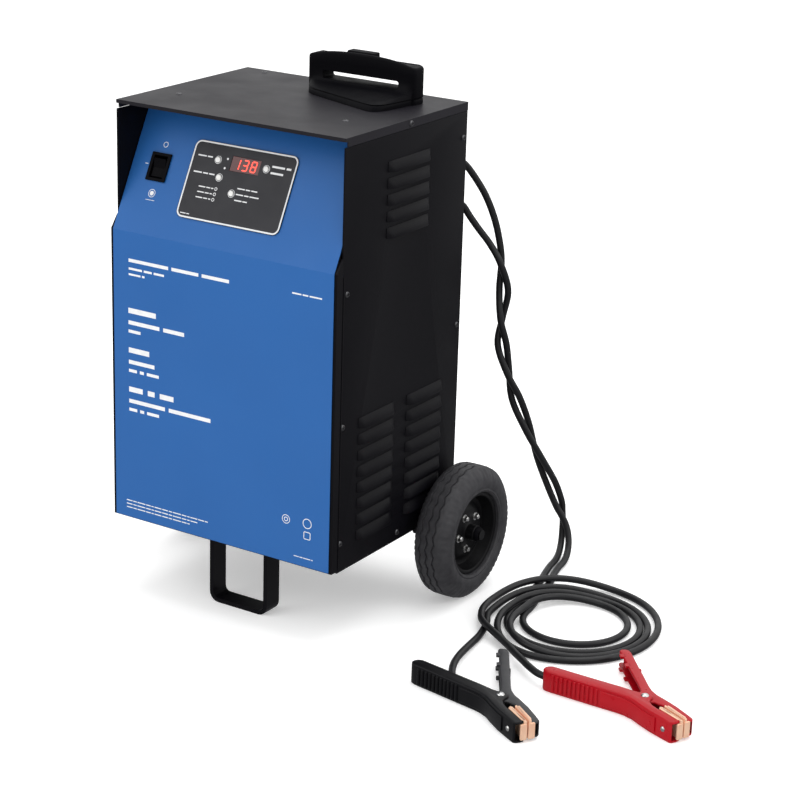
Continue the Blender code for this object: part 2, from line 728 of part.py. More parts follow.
def fan_frame():
    """The fan's square frame, hub and three arms."""
    low = (FAN_X - FAN_HALF, FAN_FRONT_Y, FAN_Z - FAN_HALF)
    high = (FAN_X + FAN_HALF, BACK_Y - SHEET - GAP, FAN_Z + FAN_HALF)
    frame = add("fan_frame", boxes_mesh([(low, high)]), "black_plastic")
    front = (FAN_X, FAN_FRONT_Y, FAN_Z)
    bore = ((FAN_X, FAN_FRONT_Y - 0.01, FAN_Z), (FAN_X, BACK_Y, FAN_Z), FAN_BLADE + 0.002)
    bored(frame, rods_mesh([bore], 40))
    middle = (FAN_X, FAN_FRONT_Y + 0.0020, FAN_Z)
    for turn in (90, 210, 330):
        a = math.radians(turn)
        end = (FAN_X + math.cos(a) * 0.043, middle[1], FAN_Z + math.sin(a) * 0.043)
        joined(frame, rods_mesh([(middle, end, 0.0018)], 12))
    joined(frame, rods_mesh([(front, (FAN_X, FAN_FRONT_Y + 0.0050, FAN_Z), 0.0150)], 32))
    return joined(frame, rods_mesh([(front, (FAN_X, FAN_FRONT_Y + 0.0120, FAN_Z), 0.0020)], 16))


def fan_rotor():
    """The fan's hub and seven pitched blades, its origin on its shaft."""
    front, back = 0.0060, BACK_Y - 0.0060 - FAN_FRONT_Y
    rotor = add("fan_rotor", rods_mesh([((0, front, 0), (0, back, 0), 0.0160)], 32), "black_plastic")
    for blade in range(7):
        mesh = boxes_mesh([((0.0140, -0.0009, -0.0110), (FAN_BLADE - 0.001, 0.0009, 0.0110))])
        mesh.transform(Matrix.Rotation(math.radians(35), 4, "X"))
        turn = Matrix.Rotation(math.tau * blade / 7, 4, "Y")
        mesh.transform(Matrix.Translation((0, (front + back) / 2, 0)) @ turn)
        joined(rotor, mesh)
    bored(rotor, rods_mesh([((0, -0.01, 0), (0, 0.0135, 0), 0.0026)], 16))
    rotor.matrix_world = Matrix.Translation((FAN_X, FAN_FRONT_Y, FAN_Z))
    return rotor


def mains_inlet():
    """The mains inlet's shell, with a pocket for a plug and its three pins."""
    x, z, y = INLET_X, INLET_Z, BACK_Y
    flange = ((x - 0.0240, y + GAP, z - 0.0130), (x + 0.0240, y + 0.0030, z + 0.0130))
    body = ((x - 0.0135, y - 0.0200, z - 0.0100), (x + 0.0135, y + 0.0010, z + 0.0100))
    pocket = ((x - 0.0120, y - 0.0160, z - 0.0080), (x + 0.0120, y + 0.0100, z + 0.0080))
    shell = add("mains_inlet", boxes_mesh([flange]), "black_plastic")
    joined(shell, boxes_mesh([body]))
    bored(shell, boxes_mesh([pocket]))
    pins = [
        ((x + dx - 0.001, y - 0.0165, z + dz - 0.0022), (x + dx + 0.001, y - 0.0030, z + dz + 0.0022))
        for dx, dz in ((-0.0070, -0.0020), (0.0, 0.0025), (0.0070, -0.0020))
    ]
    return joined(shell, boxes_mesh(pins))


def cable_gland(name, z):
    """A strain relief through the back panel: a flange outside, a body in the hole and a tapered tail."""
    bore = CABLE_RADIUS + GAP
    profile = [
        (bore, 0.0295), (0.0062, 0.0295), (0.0072, 0.0080), (0.0115, 0.0070), (0.0120, GAP), (0.0082, GAP),
        (0.0082, -0.0100), (bore, -0.0100), (bore, 0.0295),
    ]
    place = Matrix.Translation((GLAND_X, BACK_Y, z)) @ Matrix.Rotation(math.radians(-90), 4, "X")
    return turned(name, profile, "black_plastic", place, 20)


# ---- Wheels, axle and foot ----

def axle():
    """The steel axle under the cabinet."""
    half = WHEEL_X + WHEEL_WIDTH / 2 + 0.004
    ends = ((-half, AXLE_Y, WHEEL_RADIUS), (half, AXLE_Y, WHEEL_RADIUS))
    return smoothed(add("axle", rods_mesh([(*ends, AXLE_RADIUS)], 28), "zinc"))


def axle_bracket(name, side):
    """A folded bracket that hangs the axle from the base pan."""
    top = BOTTOM_Z - GAP
    outline = round_rectangle((AXLE_Y - 0.0180, WHEEL_RADIUS - 0.0130), (AXLE_Y + 0.0180, top), 0.004)
    x0 = side * 0.1250
    bracket = add(name, prism_mesh(outline, x0 - 0.0015, x0 + 0.0015, ALONG_X), "black_steel")
    span = sorted((x0 - side * 0.0010, x0 - side * 0.0220))
    joined(bracket, boxes_mesh([((span[0], AXLE_Y - 0.0180, top - 0.0025), (span[1], AXLE_Y + 0.0180, top))]))
    ends = ((x0 - 0.01, AXLE_Y, WHEEL_RADIUS), (x0 + 0.01, AXLE_Y, WHEEL_RADIUS))
    return bored(bracket, rods_mesh([(*ends, AXLE_RADIUS + GAP)], 28))


def wheel_place(side, x=WHEEL_X):
    """A frame on the axle at a distance from the middle: Z along the axle, outwards."""
    turn = Matrix.Rotation(math.radians(90 * side), 4, "Y")
    return Matrix.Translation((side * x, AXLE_Y, WHEEL_RADIUS)) @ turn


def tyre(name, side):
    """A tyre with round shoulders and a flat tread."""
    half = WHEEL_WIDTH / 2
    bead = RIM_RADIUS + GAP
    shoulder = 0.014
    outer = [(WHEEL_RADIUS - shoulder + shoulder * math.sin(a), half - shoulder + shoulder * math.cos(a))
             for a in (math.radians(22.5 * i) for i in range(5))]
    wall = [(bead, half - 0.0055), (bead + 0.006, half - 0.0010)] + outer
    lower = [(r, -z) for r, z in reversed(wall)]
    return turned(name, wall + lower + wall[:1], "tyre_rubber", wheel_place(side), 36)


def rim(name, side):
    """A pressed rim: a barrel with turned-out edges, a dished disc and a hub tube on the axle."""
    half = WHEEL_WIDTH / 2 - 0.0060
    bore = AXLE_RADIUS + GAP
    profile = [
        (bore, 0.0200), (0.0115, 0.0200), (0.0115, 0.0040), (0.0200, 0.0020), (0.0330, 0.0050),
        (0.0400, 0.0040), (0.0455, half), (RIM_RADIUS, half), (RIM_RADIUS, -half), (0.0455, -half),
        (0.0430, -0.0060), (0.0330, 0.0015), (0.0200, -0.0015), (0.0115, -0.0030), (0.0115, -0.0200),
        (bore, -0.0200), (bore, 0.0200),
    ]
    return turned(name, profile, "black_steel", wheel_place(side), 24)


def axle_nut(name, side):
    """The domed cap nut on the axle's end."""
    profile = [
        (0.0, 0.0100), (0.0060, 0.0085), (0.0095, 0.0045), (0.0100, 0.0), (AXLE_RADIUS + GAP, 0.0),
        (AXLE_RADIUS + GAP, 0.0072), (0.0, 0.0072),
    ]
    return turned(name, profile, "zinc", wheel_place(side, WHEEL_X + 0.0203), 16)


def foot_bracket():
    """The front foot: a flat bar bent into a U under the cabinet, with its ends folded outwards."""
    top = BOTTOM_Z - GAP
    half = FOOT_WIDTH / 2
    radius = 0.012
    outer = (
        [(half + 0.018, top), (half + 0.018, top - FOOT_BAR), (half, top - FOOT_BAR)]
        + arc((half - radius, radius), radius, 0, -90, 6)
        + arc((-half + radius, radius), radius, -90, -180, 6)
        + [(-half, top - FOOT_BAR), (-half - 0.018, top - FOOT_BAR), (-half - 0.018, top)]
    )
    r = radius - FOOT_BAR
    inner = (
        [(-half + FOOT_BAR, top)] + arc((-half + radius, radius), r, -180, -90, 5)
        + arc((half - radius, radius), r, -90, 0, 5) + [(half - FOOT_BAR, top)]
    )
    mesh = prism_mesh(outer + inner, -FOOT_Y - FOOT_DEPTH / 2, -FOOT_Y + FOOT_DEPTH / 2, FROM_FRONT)
    return rounded(add("foot_bracket", mesh, "black_steel"), 0.0008, 1, 60)


# ---- Handle ----

def tube_places():
    """The two tubes' places across the cabinet."""
    return (HANDLE_X - TUBE_OFFSET, HANDLE_X + TUBE_OFFSET)


def tube_holes(radius):
    """Cutters for both tubes, through the lid and the collar on it."""
    rods = [((x, HANDLE_Y, TOP_Z - 0.02), (x, HANDLE_Y, TOP_Z + 0.03), radius) for x in tube_places()]
    return rods_mesh(rods)


def handle_base():
    """The half-moon collar on the lid that the handle drops onto."""
    half = HANDLE_HALF_WIDTH
    back = HANDLE_Y + LOOP_DEPTH / 2 + 0.001
    front = HANDLE_Y - LOOP_DEPTH / 2 - 0.002
    bow = []
    for i in range(17):
        t = i / 8 - 1
        bow.append((HANDLE_X + half * t, front - BASE_BOW * (1 - abs(t) ** 2.6)))
    outline = bow + [
        (HANDLE_X + half, back - 0.004), (HANDLE_X + half - 0.004, back), (HANDLE_X - half + 0.004, back),
        (HANDLE_X - half, back - 0.004),
    ]
    base = add("handle_base", prism_mesh(outline, TOP_Z + GAP, BASE_TOP_Z), "black_plastic")
    rounded(base, 0.0015, 2, 50)
    return bored(base, tube_holes(INNER_TUBE_RADIUS + GAP))


def handle_grip():
    """The moulded loop: its two posts, lower bar and crowned grip, with a pocket for the button."""
    half = HANDLE_HALF_WIDTH
    crown = []
    for i in range(19):
        t = 0.9 - i * 0.1
        crown.append((HANDLE_X + half * t, LOOP_TOP_Z + LOOP_CROWN * (1 - t * t)))
    shoulder = LOOP_TOP_Z - 0.007
    outline = (
        [(HANDLE_X - half, LOOP_BOTTOM_Z), (HANDLE_X + half, LOOP_BOTTOM_Z), (HANDLE_X + half, shoulder)]
        + crown + [(HANDLE_X - half, shoulder)]
    )
    depth = (-HANDLE_Y - LOOP_DEPTH / 2, -HANDLE_Y + LOOP_DEPTH / 2)
    grip = add("handle_grip", prism_mesh(outline, *depth, FROM_FRONT), "black_plastic")
    slot = round_rectangle(
        (HANDLE_X - SLOT_HALF_WIDTH, SLOT_BOTTOM_Z), (HANDLE_X + SLOT_HALF_WIDTH, SLOT_TOP_Z), 0.0035,
    )
    bored(grip, prism_mesh(slot, depth[0] - 0.01, depth[1] + 0.01, FROM_FRONT))
    rounded(grip, 0.0018, 2, 50)
    low = (BUTTON_X - BUTTON_HALF - GAP, HANDLE_Y - BUTTON_HALF_DEPTH - GAP, LOOP_TOP_Z - 0.0080)
    high = (BUTTON_X + BUTTON_HALF + GAP, HANDLE_Y + BUTTON_HALF_DEPTH + GAP, LOOP_TOP_Z + 0.02)
    return bored(grip, boxes_mesh([(low, high)]))


def handle_button():
    """The release button, its origin on its own axis in the grip."""
    low = (-BUTTON_HALF, -BUTTON_HALF_DEPTH, -0.0035)
    high = (BUTTON_HALF, BUTTON_HALF_DEPTH, 0.0065)
    button = add("handle_button", boxes_mesh([(low, high)]), "black_plastic")
    button.matrix_world = Matrix.Translation((BUTTON_X, HANDLE_Y, LOOP_TOP_Z))
    return rounded(button, 0.0012, 2)


def handle_tubes(name, side):
    """One telescoping leg: the tube fixed in the cabinet, and the tube on the handle that slides in it."""
    place = Matrix.Translation((HANDLE_X + side * TUBE_OFFSET, HANDLE_Y, 0))
    fixed = ring_profile(OUTER_TUBE_BORE, OUTER_TUBE_RADIUS, 0.1250, TOP_Z - GAP)
    sliding = ring_profile(INNER_TUBE_RADIUS - 0.0012, INNER_TUBE_RADIUS, 0.1550, LOOP_BOTTOM_Z - GAP)
    outer = turned(f"outer_tube_{name}", fixed, "zinc", place, 24)
    inner = turned(f"inner_tube_{name}", sliding, "black_steel", place, 24)
    return outer, inner


# ---- Clamps ----

def arm_outline():
    """A clamp arm seen from the side, jaws towards +X, on the -Y side of the pivot."""
    lug = arc((0.0, 0.0), 0.0085, 150, 10, 8)
    return (
        [(0.0620, -0.0030), (0.0625, -0.0120), (0.0600, -0.0150), (0.0300, -0.0175), (0.0000, -0.0165),
         (-0.0200, -0.0215), (-0.0960, -0.0560), (-0.1020, -0.0560), (-0.1060, -0.0500), (-0.1040, -0.0440),
         (-0.0990, -0.0405), (-0.0300, -0.0085)]
        + lug + [(0.0160, -0.0060), (0.0300, -0.0065), (0.0420, -0.0030)]
    )


def channel_outline():
    """The hollow inside an arm: all of it except the wall along its outer edge."""
    return [
        (0.0700, 0.0150), (0.0700, -0.0123), (0.0300, -0.0151), (0.0000, -0.0141), (-0.0190, -0.0187),
        (-0.0955, -0.0534), (-0.1120, -0.0534), (-0.1120, -0.0300), (-0.0300, 0.0150),
    ]


def clamp_place(colour):
    """A clamp's own frame on the floor, its origin on the pivot."""
    clamp = CLAMPS[colour]
    return Matrix.Translation((*clamp["pivot"], 0.0)) @ Matrix.Rotation(clamp["turn"], 4, "Z")


def clamp_arm(colour, moving):
    """One arm of a clamp: a channel whose side walls carry the pivot. The moving arm nests in the other."""
    name = f"{colour}_{'moving' if moving else 'fixed'}_arm"
    inset = CLAMP_WALL + 0.0004 if moving else 0.0
    low, high = inset, CLAMP_HEIGHT - inset
    slot = "red_plastic" if colour == "red" else "black_plastic"
    flip = Matrix.Scale(-1, 4, (0, 1, 0)) if moving else Matrix.Identity(4)
    arm = add(name, prism_mesh(arm_outline(), low, high, flip), slot)
    channel = prism_mesh(channel_outline(), low + CLAMP_WALL, high - CLAMP_WALL, flip)
    bored(arm, channel)
    bored(arm, rods_mesh([((0, 0, -0.01), (0, 0, CLAMP_HEIGHT + 0.01), PIVOT_RADIUS + GAP)], 20))
    arm.matrix_world = clamp_place(colour)
    return arm


def jaw_contact(colour, moving):
    """A toothed copper jaw with a lip folded over the arm's tip."""
    name = f"{colour}_{'moving' if moving else 'fixed'}_jaw"
    teeth = []
    for tooth in range(9):
        x = 0.0270 + tooth * 0.0040
        teeth += [(x, -0.0022), (x + 0.0020, -0.0010)]
    lip = [
        (0.0630, -0.0022), (0.0652, -0.0012), (0.0652, -0.0115), (0.0632, -0.0115), (0.0632, -0.0040),
        (0.0240, -0.0040),
    ]
    outline = [(0.0240, -0.0022)] + teeth + lip
    inset = CLAMP_WALL + (CLAMP_WALL + 0.0008 if moving else 0.0004)
    flip = Matrix.Scale(-1, 4, (0, 1, 0)) if moving else Matrix.Identity(4)
    jaw = add(name, prism_mesh(outline, inset, CLAMP_HEIGHT - inset, flip), "copper")
    jaw.matrix_world = clamp_place(colour)
    return jaw


def clamp_pin(colour):
    """The headed pin that the two arms turn on."""
    profile = [
        (0.0, CLAMP_HEIGHT + 0.0016), (0.0030, CLAMP_HEIGHT + 0.0014), (0.0040, CLAMP_HEIGHT + GAP),
        (PIVOT_RADIUS, CLAMP_HEIGHT + GAP), (PIVOT_RADIUS, 0.0004), (0.0, 0.0004),
    ]
    return turned(f"{colour}_clamp_pin", profile, "zinc", clamp_place(colour), 20)


def clamp_spring(colour):
    """The torsion spring round the pin, with a leg along the inside of each handle."""
    wire, radius, turns = 0.0008, 0.0045, 3
    middle = CLAMP_HEIGHT / 2
    count = 8 * turns + 4
    points = []
    for i in range(count + 1):
        a = math.radians(-70) + math.tau * i / 8
        points.append((radius * math.cos(a), radius * math.sin(a), middle - 0.0040 + 0.0080 * i / count))
    first, last = Vector(points[0]), Vector(points[-1])
    points = [(-0.0300, -0.0190, first.z), (-0.0140, -0.0135, first.z), *points]
    points += [(-0.0140, 0.0135, last.z), (-0.0300, 0.0190, last.z)]
    spring = add(f"{colour}_clamp_spring", tube_mesh(points, wire, 0), "zinc")
    spring.matrix_world = clamp_place(colour)
    return smoothed(spring)


# ---- Cables ----

def round_bend(start, corner, end, radius):
    """Points of a round bend that takes a line round a corner."""
    start, corner, end = Vector(start), Vector(corner), Vector(end)
    back, on = (start - corner).normalized(), (end - corner).normalized()
    half_turn = (math.pi - back.angle(on)) / 2
    middle = corner + (back + on).normalized() * radius / math.cos(half_turn)
    first = corner + back * radius * math.tan(half_turn)
    axis = (first - middle).cross(-back)
    return [middle + Matrix.Rotation(2 * half_turn * i / 6, 3, axis) @ (first - middle) for i in range(7)]


def hang_route(colour):
    """A cable's route from its gland, down its side of the twisted pair, to the coil."""
    side = 1 if colour == "red" else -1
    twist = []
    for quarter, middle in enumerate(TWIST_LINE):
        angle = math.radians(90 - 90 * quarter)
        across = Vector(TWIST_ACROSS) * math.cos(angle)
        away = Vector(TWIST_AWAY) * math.sin(angle)
        twist.append(tuple(Vector(middle) + side * TWIST_RADIUS * (across + away)))
    corner = Vector(LANDING_CORNER) + side * PAIR_HALF_GAP * Vector(PAIR_ACROSS)
    bend = round_bend(twist[-1], corner, FLOOR_RUN[colour][0], LANDING_RADIUS)
    return LEAD_IN[colour] + twist + bend + FLOOR_RUN[colour]


def cable(name, route):
    """A plain round cable: straight to its route's second point, then along a smooth curve."""
    line = [route[0]] + smooth_line(route[1:], TUBE_STEP)
    return smoothed(add(name, tube_mesh(line, CABLE_RADIUS), "cable_jacket"))


def cable_coil():
    """The outer shape of the two cables' coil on the floor."""
    profile = ring_profile(COIL_INNER, COIL_OUTER, 0.0002, COIL_HEIGHT)
    return turned("cable_coil", profile, "cable_jacket", Matrix.Translation((*COIL_CENTRE, 0.0)), 48)


def build():
    """Make the whole charger."""
    base_pan()
    for name, side in (("side_panel_left", -1), ("side_panel_right", 1)):
        side_panel(name, side)
    back_panel()
    front_panel()
    front_film()
    top_cover()
    control_panel()
    display_window()
    display_module()
    control_board()
    for name, place in BUTTONS.items():
        push_button(name, place)
    rocker_housing()
    power_rocker()
    transformer_core()
    transformer_coil()
    rectifier_plate()
    fan_frame()
    fan_rotor()
    mains_inlet()
    for colour, z in GLAND_Z.items():
        cable_gland(f"{colour}_cable_gland", z)
    axle()
    for name, side in (("left", -1), ("right", 1)):
        axle_bracket(f"axle_bracket_{name}", side)
        tyre(f"tyre_{name}", side)
        rim(f"rim_{name}", side)
        axle_nut(f"axle_nut_{name}", side)
        handle_tubes(name, side)
    foot_bracket()
    handle_base()
    handle_grip()
    handle_button()
    for colour in CLAMPS:
        for moving in (False, True):
            clamp_arm(colour, moving)
            jaw_contact(colour, moving)
        clamp_pin(colour)
        clamp_spring(colour)
    for colour in LEAD_IN:
        cable(f"{colour}_cable_hang", hang_route(colour))
    for colour, route in TAIL_ROUTES.items():
        cable(f"{colour}_cable_tail", route)
    cable_coil()


build()
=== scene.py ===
"""The looks of a wheeled workshop battery charger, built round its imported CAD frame.

Metres, +Z up, +X to the charger's right, +Y to its back, with the floor at Z 0. The CAD gives every place.
"""

import json
import math

import bmesh
import bpy
from mathutils import Matrix, Vector


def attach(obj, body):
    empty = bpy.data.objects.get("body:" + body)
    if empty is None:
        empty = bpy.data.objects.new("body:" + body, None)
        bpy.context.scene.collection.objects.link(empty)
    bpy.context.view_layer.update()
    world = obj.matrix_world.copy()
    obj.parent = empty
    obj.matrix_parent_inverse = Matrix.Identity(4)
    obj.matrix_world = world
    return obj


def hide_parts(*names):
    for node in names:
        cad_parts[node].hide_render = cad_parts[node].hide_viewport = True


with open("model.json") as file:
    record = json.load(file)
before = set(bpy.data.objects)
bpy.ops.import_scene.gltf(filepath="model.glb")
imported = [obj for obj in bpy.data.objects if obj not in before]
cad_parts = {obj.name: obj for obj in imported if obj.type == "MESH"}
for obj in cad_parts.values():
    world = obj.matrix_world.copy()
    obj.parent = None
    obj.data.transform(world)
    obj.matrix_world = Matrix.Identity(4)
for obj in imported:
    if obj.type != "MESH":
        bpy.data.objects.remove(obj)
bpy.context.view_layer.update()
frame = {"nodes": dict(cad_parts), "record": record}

# Camera
CAMERA_PLACE = (1.4194, -2.0375, 1.0825)
CAMERA_AZIMUTH = math.radians(32.21)
CAMERA_ELEVATION = math.radians(19.13)
CAMERA_ROLL = math.radians(1.75)
CAMERA_LENS = 103.26
# The white floor is lit a little from below, which lightens the shadows
FLOOR_GLOW = 0.28

# Cables, as in the CAD source
CABLE_RADIUS = 0.004
GLAND_PLACE = {"red": (0.1250, 0.1293, 0.4920), "black": (0.1250, 0.1293, 0.4440)}
LEAD_IN = {
    "red": [
        (0.1250, 0.1293, 0.4920), (0.1250, 0.1325, 0.4915), (0.1266, 0.1395, 0.4870),
        (0.1325, 0.1490, 0.4730), (0.1415, 0.1580, 0.4530), (0.1487, 0.1655, 0.4300),
        (0.1540, 0.1710, 0.4050),
    ],
    "black": [
        (0.1250, 0.1293, 0.4440), (0.1250, 0.1325, 0.4435), (0.1264, 0.1380, 0.4395),
        (0.1315, 0.1445, 0.4270), (0.1395, 0.1525, 0.4115), (0.1490, 0.1615, 0.3945),
    ],
}
# The twisted pair's middle line, and how far in degrees the pair has turned round it at each point
TWIST_LINE = [
    (0.1595, 0.1700, 0.3740, 265), (0.1625, 0.1745, 0.3390, 180), (0.1620, 0.1735, 0.3050, 90),
    (0.1635, 0.1745, 0.2740, 0), (0.1685, 0.1825, 0.2400, -90), (0.1755, 0.1920, 0.2050, -175),
    (0.1850, 0.2055, 0.1680, -255), (0.1955, 0.2195, 0.1280, -320), (0.2055, 0.2345, 0.0920, -370),
    (0.2125, 0.2445, 0.0640, -420),
]
BEND_TURNS = (-450, -475, -498, -516, -530, -538, -540)
PAIR_RADIUS = 0.0052
PAIR_ACROSS = Vector((0.9575, 0.2886, 0.0))
LANDING_CORNER = Vector((0.2260, 0.2610, 0.0046))
LANDING_RADIUS = 0.041
FLOOR_LINE = [(0.2370, 0.1950, 0.0044, -540), (0.2436, 0.1700, 0.0044, -540)]
TAIL_ROUTES = {
    "red": [
        (0.3080, -0.0370, 0.0043), (0.3230, -0.0480, 0.0052), (0.3400, -0.0610, 0.0080),
        (0.3560, -0.0738, 0.0110), (0.3722, -0.0830, 0.0120), (0.3894, -0.0852, 0.0120),
        (0.4045, -0.0857, 0.0120), (0.4208, -0.0861, 0.0120),
    ],
    "black": [
        (0.2640, -0.0240, 0.0044), (0.2688, -0.0490, 0.0058), (0.2738, -0.0730, 0.0080),
        (0.2795, -0.0955, 0.0100), (0.2868, -0.1160, 0.0115), (0.2968, -0.1355, 0.0120),
        (0.3110, -0.1560, 0.0120),
    ],
}
COIL_CENTRE = (0.327, 0.0705)
# Each cable goes round an inner ring and then an outer one. A ring has its mean radius, how far it swells,
# the angle in degrees that it swells toward, and 1 for a ring that is off centre or 2 for an oval one
COIL_RINGS = {
    "red": ((0.0745, 0.0085, 325, 1), (0.1015, 0.0030, 280, 2)),
    "black": ((0.0590, 0.0060, 10, 1), (0.0865, 0.0075, 300, 1)),
}
# The angle in degrees at which each cable enters the coil and leaves it, and how far from the middle it is
COIL_ENTRY = {"red": (138, 0.1090), "black": (131, 0.1090)}
COIL_EXIT = {"red": (957, 0.1020), "black": (942, 0.0960)}
# Over how many degrees a cable settles on its inner ring, moves to its outer one and leaves
SETTLING = 60
WIDENING = (545, 635)
LEAVING = 42
COIL_DEGREES = 15
COIL_STEP = 0.005
HUMP_REACH = 0.020
REST_Z = 0.0043

# The cabinet and its parts, as in the CAD source
HALF_WIDTH = 0.150
FRONT_Y = -0.1395
BACK_Y = 0.0995
BOTTOM_Z = 0.089
TOP_Z = 0.569
PANEL_Y = -0.1515
KINK_Z = 0.428
SLOPE_ANGLE = math.radians(27.1)
SIDE_SHEET = 0.0020
SIDE_GAP = 0.0003
LOUVRE_BLOCKS = [
    (-0.0590, 0.0230, 0.4470, 0.0180, 5),
    (-0.1045, -0.0350, 0.1170, 0.0185, 8),
    (-0.0090, 0.0640, 0.1170, 0.0185, 8),
]
WHEEL_RADIUS = 0.078
WHEEL_HALF = 0.023
WHEEL_X = 0.179
AXLE_Y = 0.0735
RIM_RADIUS = 0.0485
HANDLE_X = 0.0460
HANDLE_Y = 0.0515
HANDLE_HALF_WIDTH = 0.0705
HANDLE_HALF_DEPTH = 0.0110
BASE_TOP_Z = TOP_Z + 0.0060
LOOP_BOTTOM_Z = BASE_TOP_Z + 0.0005
LOOP_TOP_Z = TOP_Z + 0.0440
LOOP_CROWN = 0.0040
SLOT = (TOP_Z + 0.0156, TOP_Z + 0.0242, 0.0500)
SLOT_ROUND = 0.0028
BUTTON_TOP = 0.0052
BOW_LEAN = 0.63
BUTTON_X = 0.0425
BUTTON_HALF = 0.0180
CLAMP_HEIGHT = 0.024
CLAMPS = {
    "red": {"pivot": (0.4990, -0.0840), "turn": math.radians(-25)},
    "black": {"pivot": (0.3765, -0.1700), "turn": math.radians(-34)},
}

# Print, where each word is a bar. Letters and bars are in parts of their line's height
LETTER_WIDTH = 0.80
SMALL_LETTER_WIDTH = 0.74
SMALL_WORD_GAP = 0.7
SMALL_BAR_HALF = 0.25
WORD_GAP = 0.6
BAR_BOTTOM, BAR_TOP = 0.2, 0.7
INK_LIFT = 0.00006
WORD_LENGTHS = (5, 3, 7, 4, 2, 6)
# Three groups of ratings, each a bold, a plain and a small line, as the lengths of their words
RATING_LINES = [
    ((4,), (6, 4), (3,)),
    ((3,), (5,), (2, 1, 3)),
    ((2, 1, 2), (7, 8), (2, 1, 3)),
]
RATING_PITCH = 0.0458

# Frames: an upright face seen from the front, the slope, and a side seen from its own side
FROM_FRONT = Matrix(((1, 0, 0, 0), (0, 0, -1, 0), (0, 1, 0, 0), (0, 0, 0, 1)))
SLOPE = Matrix.Translation((0, PANEL_Y, KINK_Z)) @ Matrix.Rotation(math.radians(90) - SLOPE_ANGLE, 4, "X")
ALONG_X = Matrix(((0, 0, 1, 0), (1, 0, 0, 0), (0, 1, 0, 0), (0, 0, 0, 1)))
FACE = Matrix.Translation((0, PANEL_Y, 0)) @ FROM_FRONT


# ---- Making pieces ----

def shown(name, data, material):
    """A new object on a mesh or curve, in one material."""
    thing = bpy.data.objects.new(name, data)
    bpy.context.scene.collection.objects.link(thing)
    data.materials.clear()
    data.materials.append(material)
    return thing


def placed(thing, body, slot, *replaced):
    """Let a piece ride on its body and hide the CAD nodes it stands for. The slot argument is not used."""
    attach(thing, body)
    if replaced:
        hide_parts(*replaced)
    return thing


def through(points, step):
    """Points of a smooth curve through a route, about a step apart."""
    route = [Vector(p) for p in points]
    ends = [2 * route[0] - route[1], *route, 2 * route[-1] - route[-2]]
    line = []
    for a, b, c, d in zip(ends, ends[1:], ends[2:], ends[3:]):
        count = max(1, round((c - b).length / step))
        for k in range(count):
            t = k / count
            line.append(0.5 * (
                2 * b + (c - a) * t + (2 * a - 5 * b + 4 * c - d) * t ** 2 + (3 * b - a - 3 * c + d) * t ** 3
            ))
    return line + [route[-1]]


def mesh_of(name, verts, faces):
    """A mesh from its corners and faces, with its normals made consistent and its round parts smooth."""
    mesh = bpy.data.meshes.new(name)
    mesh.from_pydata(verts, [], faces)
    return tidied(mesh)


def tidied(mesh, smooth=35):
    """The mesh with doubled corners welded, normals outwards and only its real edges sharp."""
    work = bmesh.new()
    work.from_mesh(mesh)
    bmesh.ops.remove_doubles(work, verts=work.verts, dist=1e-6)
    bmesh.ops.recalc_face_normals(work, faces=work.faces)
    work.to_mesh(mesh)
    work.free()
    mesh.shade_smooth()
    mesh.set_sharp_from_angle(angle=math.radians(smooth))
    return mesh


def merged(name, meshes):
    """One mesh out of several."""
    work = bmesh.new()
    for mesh in meshes:
        work.from_mesh(mesh)
        bpy.data.meshes.remove(mesh)
    whole = bpy.data.meshes.new(name)
    work.to_mesh(whole)
    work.free()
    return tidied(whole)


def at(mesh, place):
    """A copy of a mesh, moved to a place."""
    copy = mesh.copy()
    copy.transform(place)
    return copy


def seen_mesh(thing):
    """The mesh that an object shows with its modifiers. The object is removed."""
    bpy.context.view_layer.update()
    mesh = bpy.data.meshes.new_from_object(thing.evaluated_get(bpy.context.evaluated_depsgraph_get()))
    bpy.data.objects.remove(thing, do_unlink=True)
    return mesh


def holder(data):
    """A bare object on a mesh or curve, for modifiers to work on."""
    thing = bpy.data.objects.new("holder", data)
    bpy.context.scene.collection.objects.link(thing)
    return thing


def drawn(outlines, low, high, edge=0.0, place=Matrix.Identity(4), segments=2):
    """A flat outline, with any holes, made solid between two heights, its edges rounded inwards."""
    drawing = bpy.data.curves.new("drawing", "CURVE")
    drawing.dimensions = "2D"
    drawing.fill_mode = "BOTH"
    drawing.extrude = (high - low) / 2 - edge
    drawing.bevel_depth = edge
    drawing.bevel_resolution = segments
    drawing.offset = -edge
    for outline in outlines:
        spline = drawing.splines.new("POLY")
        spline.points.add(len(outline) - 1)
        for point, (x, y) in zip(spline.points, outline):
            point.co = (x, y, 0.0, 1.0)
        spline.use_cyclic_u = True
    mesh = tidied(seen_mesh(holder(drawing)))
    mesh.materials.clear()
    mesh.transform(place @ Matrix.Translation((0, 0, (low + high) / 2)))
    return mesh


def lathe(profile, steps=64, place=Matrix.Identity(4)):
    """A profile of (radius, height) points turned about Z."""
    verts, faces = [], []
    for step in range(steps):
        a = math.tau * step / steps
        verts += [(r * math.cos(a), r * math.sin(a), z) for r, z in profile]
    rows = len(profile)
    for step in range(steps):
        here, there = step * rows, (step + 1) % steps * rows
        faces += [(here + i, there + i, there + i + 1, here + i + 1) for i in range(rows - 1)]
    mesh = mesh_of("turned", verts, faces)
    mesh.transform(place)
    return mesh


def block(low, high, place=Matrix.Identity(4)):
    """A small box between two corners."""
    work = bmesh.new()
    low, high = Vector(low), Vector(high)
    size = Matrix.Diagonal((*(high - low), 1.0))
    bmesh.ops.create_cube(work, size=1.0, matrix=place @ Matrix.Translation((low + high) / 2) @ size)
    mesh = bpy.data.meshes.new("block")
    work.to_mesh(mesh)
    work.free()
    return mesh


